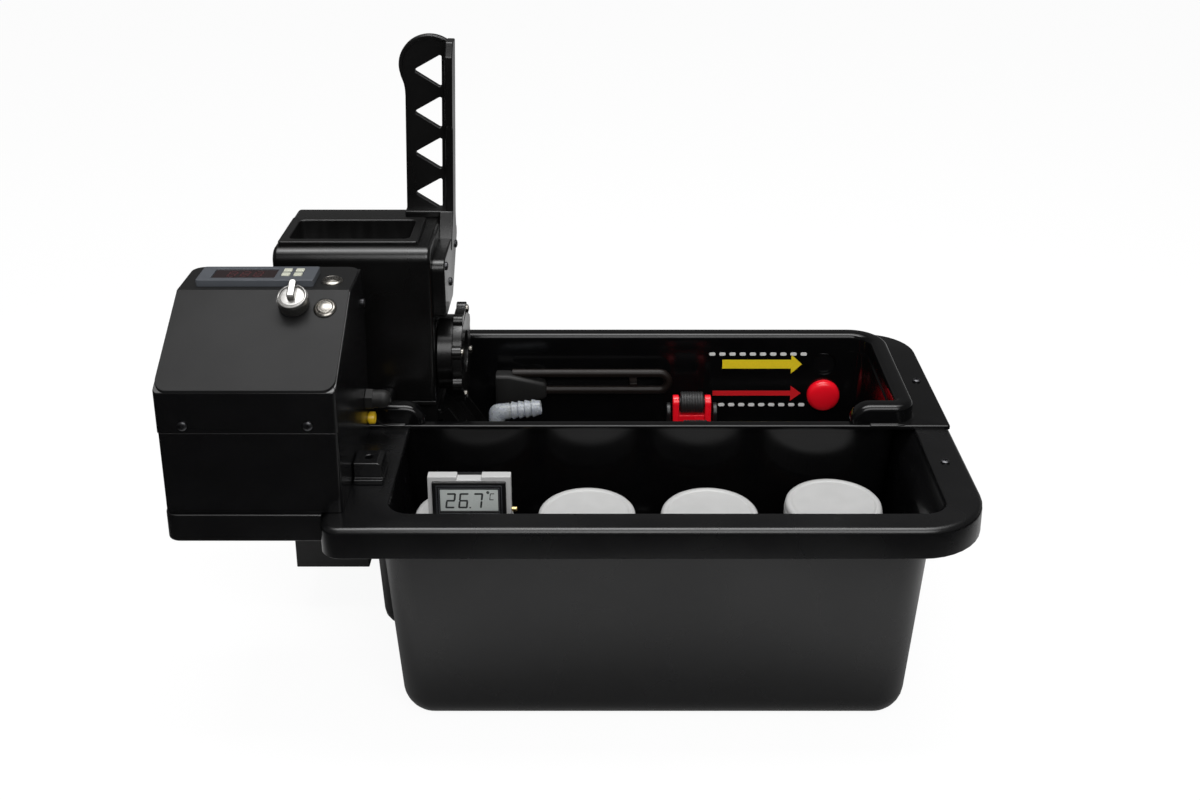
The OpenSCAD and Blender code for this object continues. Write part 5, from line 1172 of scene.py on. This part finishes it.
class FILMPROCESSOR_OT_lift(bpy.types.Operator):
    """Dresses the drum lift with its funnel and lever"""

    bl_idname = "film_processor.lift"
    bl_label = "Drum lift"

    def execute(self, context):
        soft = context.scene.film_sizes.soft_edge / MM
        dressed("lift_base", "lift", soft)
        self.housing()
        self.funnel()
        self.lever()
        dressed("drip_chute", "lift_smooth", 0.4)
        dressed("drum_coupling", "lift_smooth", 0.6)
        dressed("spindle", "acetal", 0.15)
        paint("hinge_pin", "steel")
        paint("gear_motor", "motor")
        paint("motor_pinion", "brass")
        paint("spindle_bearings", "steel")
        return {"FINISHED"}

    def housing(self):
        """The housing and its back cover, cut from one rounded body."""

        front_y, back_y, top = LIFT_FRONT, LIFT_BACK, LIFT_TOP
        outline = soft_corners([(front_y, 160), (back_y, 160), (back_y, top), (front_y, top)], (0, 0, 3.6, 9.6), 10)
        body = Shape()
        body.slab([outline], LIFT_LEFT, LIFT_RIGHT, (3.2, 3.2), lambda u, v, out: (out, u, v), steps=6)
        below = block_cutter((-270, 0, 150), (-145, 120, LIFT_FOOT))
        corner = block_cutter((-270, 10, 170), (-253, 120, HINGE_Z))
        hollow = Shape()
        inner = soft_corners([(20.5, 165), (104, 165), (104, 285), (20.5, 285)], (0, 0, 0.5, 6.0))
        hollow.slab([inner], -259.0, -156.0, (0.3, 0.3), lambda u, v, out: (out, u, v))
        mouth = block_cutter((-255.3, 30.7, 280), (-166.7, 74.3, 292))
        spindle_hole = round_cutter((-155, SPINDLE_Y, SPINDLE_Z), RIGHT, 11.5, 6)
        ears = []
        for y in (34.5, 78.5):
            ears.append(round_cutter((HINGE_X, y + 5, HINGE_Z), BACK, 5.1, 11))
            ears.append(block_cutter((-265, y - 0.5, 170), (-252.4, y + 10.5, HINGE_Z)))
        cuts = {
            "lift_housing": [
                block_cutter((-270, LIFT_SEAM, 150), (-145, 120, 300)), below, corner, hollow, mouth,
                spindle_hole, *ears,
            ],
            "lift_back_cover": [
                block_cutter((-270, 0, 150), (-145, LIFT_SEAM + 0.1, 300)), below, corner,
                round_cutter((HINGE_X, 60, HINGE_Z), BACK, 2.05, 120),
            ],
        }
        for node, cutters in cuts.items():
            data = carved(node + "_look", body.mesh(node + "_body", 40), cutters, 40)
            place(node + "_look", data, ["lift_smooth"], node, (node,))
        inside = Shape()
        for y0, y1 in ((17.6, 34.0), (45.0, 78.0), (89.0, 106.4)):
            profile = [(0, y0), (4.3, y0), (4.5, y0 + 0.2), (4.5, y1 - 0.2), (4.3, y1), (0, y1)]
            inside.lathe(profile, (HINGE_X, 0, HINGE_Z), BACK, 32)
        boss = [(9.0, -172), (18.0, -172), (18.0, -156.2), (9.0, -156.2)]
        inside.lathe(boss, (0, SPINDLE_Y, SPINDLE_Z), RIGHT, 48, hollow=True)
        piece("lift_knuckles", inside, ["lift_smooth"], "lift_housing", replaces=False, sharp=40)

    def funnel(self):
        """The tray's rim and its bowl, which narrows to the spout over the spindle."""
        seat, top = LIFT_TOP + 0.02, 291.0
        rim = (-259.5, -162.5, 26.5, 78.5)
        bowl = (-253.0, -169.0, 33.0, 72.0)
        bend = (4.0,) * 4

        def hole(radius, z):
            spout_x = -190
            around = (spout_x - radius, spout_x + radius, SPINDLE_Y - radius, SPINDLE_Y + radius)
            return rounded_ring(*around, (radius,) * 4, z, 6)

        rings = [hole(6.5, 198.0), hole(6.5, 245.0), grown(bowl, 2.0, bend, 269.0, 6), grown(bowl, 2.0, bend, seat, 6)]
        rings.append(grown(rim, -0.1, (2.4,) * 4, seat, 6))
        rings += [grown(rim, -into, (2.5,) * 4, top - down, 6) for into, down in quarter_turn(4)]
        rings += [grown(rim, -1.2, (2.5,) * 4, top, 6), grown(bowl, 1.2, bend, top, 6)]
        rings += [grown(bowl, out, bend, top - down, 6) for down, out in quarter_turn(4)]
        rings += [grown(bowl, into, bend, z, 6) for into, z in ((0.0, top - 1.2), (-0.4, 272.0), (-1.0, 270.4))]
        rings += [hole(4.5, 249.0), hole(4.5, 203.0)]
        tray = Shape()
        tray.loft(rings)
        elbow = [(0, -190), (6.5, -190), (6.5, -183), (4.3, -182.8), (4.3, -177), (0, -177)]
        tray.lathe(elbow, (0, SPINDLE_Y, SPINDLE_Z), RIGHT, 32)
        piece("funnel_tray_look", tray, ["lift"], "funnel_tray", sharp=40)

    def lever(self):
        """The lever leans to the right about the foot of its rib; its side plate stands square."""
        lean = math.radians(1.8)

        def leaned(x, y, z):
            across, up = x - RIB_X, z - LIFT_TOP
            moved_x = RIB_X + across * math.cos(lean) + up * math.sin(lean)
            moved_z = LIFT_TOP - across * math.sin(lean) + up * math.cos(lean)
            return moved_x, y, moved_z

        def paddle(radius, start, stop):
            return arc_points((-161, 399.5), radius, start, stop, 24)

        shape = Shape()
        foot = [(-179.0, 289.0), (-147.6, 289.0)]
        blend = [(-182.4, 392.0), (-181.2, 388.8), (-180.0, 385.6), (-179.3, 381.6), (-179.0, 377.0)]
        outline = foot + paddle(22.5, 53.0, 199.0) + blend
        holes = []
        for i in range(4):
            z = 408 - 30.7 * i
            holes.append(soft_corners([(-152.8, z), (-152.8, z - 24.5), (-173.0, z - 12.25)], (1.2, 1.2, 1.4), 4))
        shape.slab([outline] + holes, 94.5, 99.5, (0.8, 0.8), lambda u, v, out: leaned(u, out, v))
        border = paddle(22.0, 62.0, 196.0) + paddle(19.4, 196.0, 62.0)
        shape.slab([border], 93.7, 95.0, (0.5, 0.05), lambda u, v, out: leaned(u, out, v))
        edge = [(82.5, 276), (99.5, 264), (99.5, 419), (85.5, 419), (79.5, 409), (79.5, 359), (82.5, 356)]
        rib = soft_corners(edge, (1.3, 1.3, 1.5, 2, 3, 2, 2))
        shape.slab([rib], RIB_X, RIB_X + 5.5, (0.9, 0.9), lambda u, v, out: leaned(out, u, v))
        shape.block((-179, 85.5, LIFT_TOP), (-148, 99.5, LIFT_TOP + 5), 0.9)
        edge = [(23.5, 233.5), (67.6, 233.5), (106.5, 268.6), (106.5, 277), (23.5, 277)]
        plate = soft_corners(edge, (5, 3, 2, 4, 8), 6)
        shape.slab([plate], -153.0, -144.0, (0.3, 1.3), lambda u, v, out: (out, u, v))
        gusset = soft_corners([(65.5, 269), (99.5, 269), (99.5, 294), (82.5, 294)], (1.3, 1.3, 1.3, 2))
        shape.slab([gusset], -153.0, -143.5, (0.3, 0.9), lambda u, v, out: (out, u, v))
        piece("lift_lever_look", shape, ["lift_smooth"], "lift_lever", sharp=40)


class FILMPROCESSOR_OT_fittings(bpy.types.Operator):
    """Makes the pump, its elbow, the heater and the roller block"""

    bl_idname = "film_processor.fittings"
    bl_label = "Trough fittings"

    def execute(self, context):
        dressed("circulation_pump", "case", 0.8)
        self.elbow()
        self.heater()
        dressed("roller_carriage", "case", 0.5)
        dressed("roller_yokes", "red", 0.7)
        dressed("roller_axles", "white", 0.3)
        self.roller("rear_roller")
        self.roller("front_roller")
        return {"FINISHED"}

    def elbow(self):
        low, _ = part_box("pump_elbow")
        x, z, radius, bend = low[0] / MM + 6.0, 148.0, 5.9, 6.0
        shape = Shape()
        rings = []
        for k in range(-1, 15):
            a = math.radians(83.0 * min(max(k, 0), 13) / 13)
            centre = Vector((x + bend - bend * math.cos(a), SPINDLE_Y, z - bend + bend * math.sin(a)))
            outward = Vector((-math.cos(a), 0, math.sin(a)))
            along = Vector((math.sin(a), 0, math.cos(a)))
            if k < 0:
                centre.z = low[2] / MM
            if k > 13:
                centre += along * 4.6
            ring = []
            for i in range(32):
                b = 2 * math.pi * i / 32
                squarer = 1 + 0.3 * math.sin(2 * a) ** 2 * max(0.0, math.cos(b))
                ring.append(centre + outward * (radius * math.cos(b) * squarer) + Vector((0, radius * math.sin(b), 0)))
            rings.append(ring)
        shape.loft(rings)
        profile = [(0, 0), (5.4, 0)]
        for k in range(4):
            at = 1.6 + k * 5.0
            profile += [(5.3, at), (6.5, at + 0.5), (6.55, at + 1.0), (5.5, at + 4.2)]
        profile += [(5.2, 23.0), (4.9, 23.6), (3.6, 23.6), (3.3, 23.0), (3.3, 8.0), (0, 7.5)]
        shape.lathe(profile, centre - along * 0.3, along, 40)
        piece("pump_elbow_look", shape, ["milky"], "pump_elbow", sharp=40)

    def heater(self):
        x0, x1 = -104.0, 9.0
        y, top, bottom = 96.5, 157.0, 143.0
        rod = Shape()
        path = [(x0, y, top), (x0 + 40, y, top), (x1, y, top)]
        path += [(px, y, pz) for px, pz in arc_points((x1, 150), 7, 75, -75, 10)]
        path += [(x1, y, bottom), (x0 + 40, y, bottom), (x0, y, bottom)]
        rod.sweep(path, 3.25, 18)
        rod.block((-14, 95.6, 145.2), (-8, 108.4, 148.8), 0.6)
        piece("heater_rod", rod, ["heater"], "water_heater", sharp=40)
        boot = Shape()
        rings = []
        stations = (
            (-117, 89.3, 100.7, 133.8, 157.2), (-116.2, 88.5, 101.5, 133, 158), (-107, 88.5, 101.5, 133, 158),
            (-80, 91.5, 101.5, 137, 150.6), (-78.6, 92.1, 100.9, 137.6, 149.6), (-78, 93, 100, 138.5, 148.5),
        )
        for x, low_y, high_y, low_z, high_z in stations:
            rings.append([(x, p[0], p[1]) for p in rounded_ring(low_y, high_y, low_z, high_z, (2.6,) * 4, 0, 5)])
        boot.loft(rings)
        boot.block((-113, 96.5, 139), (-95, 108.4, 153), 0.6)
        piece("heater_boot", boot, ["boot"], "water_heater", replaces=False, sharp=45)

    def roller(self, node):
        low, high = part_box(node)
        centre = [(low[i] + high[i]) / 2 / MM for i in range(3)]
        profile = [(2.05, -9.4), (3.9, -9.4), (4.0, -9.2), (4.0, -8.6), (7.2, -8.6), (7.7, -8.1)]
        for k in range(8):
            at = -7.2 + k * 2.05
            profile += [(7.9, at - 0.55), (7.95, at), (7.9, at + 0.55), (7.55, at + 0.85), (7.55, at + 1.2)]
        profile = profile[:-2] + [(7.7, 8.1), (7.2, 8.6), (4.0, 8.6), (4.0, 9.2), (3.9, 9.4), (2.05, 9.4)]
        turned(node + "_look", profile, centre, RIGHT, 56, "rubber", node, sharp=40)


class FILMPROCESSOR_OT_bottles(bpy.types.Operator):
    """Makes the four bottles and their ribbed caps"""

    bl_idname = "film_processor.bottles"
    bl_label = "Bottles"

    def execute(self, context):
        bottle = [(0, 6.0), (23.8, 6.0)] + arc_points((24, 18), 12, -90, 0, 6)
        bottle += [(36, 60), (36, 104), (35.8, 106), (34.6, 108.4), (31.6, 111.4), (29.4, 112.8), (29, 114)]
        for at in (116, 120.5, 125):
            bottle += [(29, at), (29.22, at + 0.6), (29.22, at + 1.4), (29, at + 2.0)]
        bottle += [(29, 131.6), (28.6, 132), (27.8, 132), (27.4, 131.6), (27.4, 112), (34.2, 105), (34.4, 100)]
        bottle += [(34.4, 20), (31.4, 11.6), (24.4, 7.8), (0, 7.6)]
        cap = [
            (29.4, 115.2), (32.0, 115.0), (32.5, 115.3), (32.5, 116.4), (32.3, 117), (32.3, 130.6), (32.35, 132.2),
            (32.0, 133.6), (31.1, 134.6), (30.0, 134.95), (28.6, 135.0), (27.9, 134.8), (27.5, 134.4), (26.8, 134.3),
            (0, 134.3), (0, 132.4), (29.4, 132.4),
        ]
        recipe = rib_recipe()
        values = {"Ring Radius": 32.25 * MM, "Rib Radius": 0.6 * MM, "Rib Height": 13.0 * MM}
        values["Ribs"] = context.scene.film_sizes.cap_ribs
        for i, (x, y) in enumerate(BOTTLES, 1):
            turned(f"bottle_{i}_look", bottle, (x, y, 0), UP, 96, "amber", f"bottle_{i}", sharp=40)
            turned(f"bottle_cap_{i}_look", cap, (x, y, 0), UP, 96, "white", f"bottle_cap_{i}", sharp=50)
            grow(f"cap_ribs_{i}", recipe, [(x, y, 123.6)], [UP], values, "white", f"bottle_cap_{i}", sharp=60)
        return {"FINISHED"}


class FILMPROCESSOR_OT_thermometer(bpy.types.Operator):
    """Makes the thermometer with its display"""

    bl_idname = "film_processor.thermometer"
    bl_label = "Thermometer"

    def execute(self, context):
        dressed("thermometer_holder", "white", 0.6)
        dressed("thermometer", "case", 0.6)
        low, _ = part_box("thermometer")
        x0, z0, y = low[0] / MM, low[2] / MM, low[1] / MM
        trim = Shape()
        for inset in (2.6, 4.2):
            outer = (x0 + inset, x0 + 48 - inset, z0 + inset + 1.4, z0 + 28.6 - inset + 0.4)
            self.border(trim, outer, y - 0.12, 0.5)
        piece("display_frame_lines", trim, ["frame_grey"], "thermometer", replaces=False)
        glass = Shape()
        glass.block((x0 + 5.2, y + 0.3, z0 + 7.7), (x0 + 42.8, y + 0.75, z0 + 23.3), 0.12)
        piece("display_glass", glass, ["lcd"], "thermometer", replaces=False)
        digits = Shape()
        front = y + 0.3

        def to_space(u, v, out):
            return (u, front - out, v)

        for char, at in (("2", 8.2), ("6", 16.6), ("7", 25.8)):
            seven_segments(digits, char, (x0 + at, z0 + 9.6), 6.2, 11.2, to_space, 0.05)
        digits.block((x0 + 24.0, front - 0.05, z0 + 9.6), (x0 + 25.0, front + 0.01, z0 + 10.6))
        seven_segments(digits, "C", (x0 + 37.0, z0 + 15.6), 3.0, 5.0, to_space, 0.05)
        ring = [(1.0, 0.0), (1.0, 0.05), (0.6, 0.05), (0.6, 0.0)]
        digits.lathe(ring + ring[:1], (x0 + 36.2, front, z0 + 21.2), (0, -1, 0), 20)
        piece("display_digits", digits, ["lcd_digit"], "thermometer", replaces=False, sharp=80)
        stub = [(0, 0), (1.6, 0), (1.6, 3.2), (1.2, 3.8), (0, 3.8)]
        turned("probe_socket", stub, (-93.4, -76.5, 142.5), RIGHT, 20, "brass", "thermometer", replaces=False)
        return {"FINISHED"}

    def border(self, shape, rect, y, width):
        """A thin raised frame on an upright face."""
        u0, u1, v0, v1 = rect
        for low, high in (
            ((u0, v0), (u1, v0 + width)), ((u0, v1 - width), (u1, v1)), ((u0, v0 + width), (u0 + width, v1 - width)),
            ((u1 - width, v0 + width), (u1, v1 - width)),
        ):
            shape.block((low[0], y, low[1]), (high[0], y + 0.3, high[1]), 0.08)


class FILMPROCESSOR_OT_screws(bpy.types.Operator):
    """Puts pan-head screws where the solids have theirs"""

    bl_idname = "film_processor.screws"
    bl_label = "Screws"

    def execute(self, context):
        recipe = screw_recipe()
        head = context.scene.film_sizes.screw_head
        values = {"Head Radius": head, "Head Height": HEAD_HEIGHT, "Recess": 3.2 * MM}
        groups = (("fixing_screws", "dark_steel"), ("lift_screws", "dark_steel"), ("coupling_screws", "steel"))
        for node, material in groups:
            spots = screw_places(node)
            seats, axes = zip(*spots)
            grow(node + "_look", recipe, seats, axes, values, material, node, (node,), sharp=30)
        return {"FINISHED"}


class FILMPROCESSOR_OT_studio(bpy.types.Operator):
    """Sets up the floor, the lamps and the camera"""

    bl_idname = "film_processor.studio"
    bl_label = "Studio"

    def execute(self, context):
        studio = context.scene.film_studio
        self.floor()
        self.world(context.scene, studio.surround)
        self.lamp("top_lamp", (0.0, 0.0, 1.45), (0, 0, 0.1), (1.1, 0.42), studio.top_light)
        self.lamp("front_lamp", (0.25, -1.5, 1.35), (0, 0, 0.15), (1.5, 0.9), studio.front_light)
        self.camera(context.scene)
        view = context.scene.view_settings
        view.view_transform = "Standard"
        return {"FINISHED"}

    def floor(self):
        reach = 6.0
        data = bpy.data.meshes.new("studio_floor")
        corners = [(-reach, -reach, 0), (reach, -reach, 0), (reach, reach, 0), (-reach, reach, 0)]
        data.from_pydata(corners, [], [(0, 1, 2, 3)])
        floor = add_object("studio_floor", data)
        data.materials.append(self.pale_paper_with_painted_reflection())

    def pale_paper_with_painted_reflection(self):
        """White paper that keeps a faint shadow; polished surfaces see it only round the object, as a painted
        reflection with painted shade close by the object.
        """
        mat, bsdf = shader("pale_paper_with_painted_reflection", (0.8, 0.8, 0.8), 0.9, ("Specular IOR Level", 0.0))
        tree = bsdf.id_data
        path = new_node(tree, "ShaderNodeLightPath").outputs
        coords = new_node(tree, "ShaderNodeTexCoord").outputs["Object"]
        squeeze = new_node(tree, "ShaderNodeMapping", [("Vector", coords), ("Scale", (0.72, 1.0, 0.0))])
        reach = new_node(tree, "ShaderNodeVectorMath", [(0, squeeze.outputs["Vector"])], operation="LENGTH")
        fade = new_node(tree, "ShaderNodeMapRange", [("Value", reach.outputs["Value"]), ("From Max", 0.5)])
        bands = new_node(tree, "ShaderNodeValToRGB", [("Fac", fade.outputs["Result"])])
        bands.color_ramp.interpolation = "EASE"
        # Painted reflection for polished surfaces: painted shade next to the object, a bright ring round it, then dark
        # further out.
        stops = ((0.3, 0.45), (0.48, 0.8), (0.6, 0.7), (0.8, 0.01))
        while len(bands.color_ramp.elements) < len(stops):
            bands.color_ramp.elements.new(0.5)
        for stop, (at, value) in zip(bands.color_ramp.elements, stops):
            with_settings(stop, position=at, color=(value, value, value, 1))
        # Painted reflection made brighter behind the object.
        split = new_node(tree, "ShaderNodeSeparateXYZ", [(0, coords)])
        rise = [("Value", split.outputs["Y"]), ("From Min", 0.42), ("From Max", 0.55), ("To Max", 0.8)]
        painted_reflection_behind = new_node(tree, "ShaderNodeMapRange", rise, interpolation_type="SMOOTHSTEP")
        both = [(0, bands.outputs["Color"]), (1, painted_reflection_behind.outputs["Result"])]
        painted_reflection = new_node(tree, "ShaderNodeMath", both, operation="MAXIMUM")
        # Only glossy rays see the painted reflection and painted shade; other rays see plain pale paper.
        paper_or_painted_reflection = new_node(tree, "ShaderNodeMix", [(0, path["Is Glossy Ray"]), (2, 0.8), (3, painted_reflection.outputs[0])])
        feed(bsdf.inputs["Base Color"], paper_or_painted_reflection.outputs[0])
        both = [(0, path["Is Camera Ray"]), (1, path["Is Transmission Ray"])]
        seen = new_node(tree, "ShaderNodeMath", both, operation="MAXIMUM")
        share = new_node(tree, "ShaderNodeMath", [(0, seen.outputs[0]), (1, 0.86)], operation="MULTIPLY")
        glow = new_node(tree, "ShaderNodeEmission", [("Strength", 1.08)])
        parts = [("Fac", share.outputs[0]), (1, bsdf.outputs["BSDF"]), (2, glow.outputs["Emission"])]
        mix = new_node(tree, "ShaderNodeMixShader", parts)
        feed(tree.nodes["Material Output"].inputs["Surface"], mix.outputs["Shader"])
        return mat

    def world(self, scene, surround):
        """An even room; polished surfaces see it darker, with a bright patch overhead."""
        world = bpy.data.worlds.new("studio_room")
        world.use_nodes = True
        tree = world.node_tree
        room = tree.nodes["Background"]
        feed(room.inputs["Color"], (1, 1, 1, 1))
        feed(room.inputs["Strength"], surround)
        path = new_node(tree, "ShaderNodeLightPath").outputs
        coords = new_node(tree, "ShaderNodeTexCoord").outputs["Generated"]
        split = new_node(tree, "ShaderNodeSeparateXYZ", [(0, coords)])
        patch = [("From Min", 0.8), ("From Max", 0.97), ("To Min", 0.12), ("To Max", 3.0)]
        patch.append(("Value", split.outputs["Z"]))
        high = new_node(tree, "ShaderNodeMapRange", patch, interpolation_type="SMOOTHSTEP")
        white = ("Color", (1, 1, 1, 1))
        polished = new_node(tree, "ShaderNodeBackground", [white, ("Strength", high.outputs["Result"])])
        backdrop = new_node(tree, "ShaderNodeBackground", [white, ("Strength", 1.0)])
        last = room.outputs[0]
        for seen_by, layer in (("Is Glossy Ray", polished), ("Is Camera Ray", backdrop)):
            parts = [("Fac", path[seen_by]), (1, last), (2, layer.outputs[0])]
            last = new_node(tree, "ShaderNodeMixShader", parts).outputs[0]
        feed(tree.nodes["World Output"].inputs["Surface"], last)
        scene.world = world

    def lamp(self, name, place_m, target, size, power):
        data = with_settings(bpy.data.lights.new(name, "AREA"), shape="RECTANGLE", energy=power)
        data.size, data.size_y = size
        aim = Vector(target) - Vector(place_m)
        turn = aim.to_track_quat("-Z", "Y").to_euler()
        with_settings(add_object(name, data), location=place_m, rotation_euler=turn)

    def camera(self, scene):
        data = bpy.data.cameras.new("studio_camera")
        with_settings(data, sensor_width=36.0, lens=41.4, shift_x=-0.0083, shift_y=-0.1667, clip_end=50)
        turn = (math.radians(90 - 18.6), 0, 0)
        place_m = (-0.029, -0.8695, 0.623)
        scene.camera = with_settings(add_object("studio_camera", data), location=place_m, rotation_euler=turn)


PIECE_OPERATORS = (
    FILMPROCESSOR_OT_tub,
    FILMPROCESSOR_OT_trough,
    FILMPROCESSOR_OT_case,
    FILMPROCESSOR_OT_controls,
    FILMPROCESSOR_OT_lift,
    FILMPROCESSOR_OT_fittings,
    FILMPROCESSOR_OT_bottles,
    FILMPROCESSOR_OT_thermometer,
    FILMPROCESSOR_OT_screws,
    FILMPROCESSOR_OT_studio,
)


class FILMPROCESSOR_PT_panel(bpy.types.Panel):
    """Lists the steps that make the film processor"""

    bl_label = "Film processor"
    bl_idname = "FILMPROCESSOR_PT_panel"
    bl_space_type = "VIEW_3D"
    bl_region_type = "UI"
    bl_category = "Film processor"

    def draw(self, context):
        for group in (context.scene.film_sizes, context.scene.film_look, context.scene.film_studio):
            for key in group.bl_rna.properties.keys():
                if key not in ("rna_type", "name"):
                    self.layout.prop(group, key)
        for operator in PIECE_OPERATORS:
            self.layout.operator(operator.bl_idname)


SETTINGS = (
    ("film_sizes", FilmProcessorSizes),
    ("film_look", FilmProcessorLook),
    ("film_studio", FilmProcessorStudio),
)


def register():
    for name, group in SETTINGS:
        bpy.utils.register_class(group)
        setattr(bpy.types.Scene, name, bpy.props.PointerProperty(type=group))
    for operator in PIECE_OPERATORS:
        bpy.utils.register_class(operator)
    bpy.utils.register_class(FILMPROCESSOR_PT_panel)


def unregister():
    bpy.utils.unregister_class(FILMPROCESSOR_PT_panel)
    for operator in reversed(PIECE_OPERATORS):
        bpy.utils.unregister_class(operator)
    for name, group in reversed(SETTINGS):
        delattr(bpy.types.Scene, name)
        bpy.utils.unregister_class(group)


def main():
    register()
    make_materials(bpy.context.scene.film_look)
    for operator in PIECE_OPERATORS:
        group, name = operator.bl_idname.split(".")
        getattr(getattr(bpy.ops, group), name)()


if __name__ == "__main__":
    main()
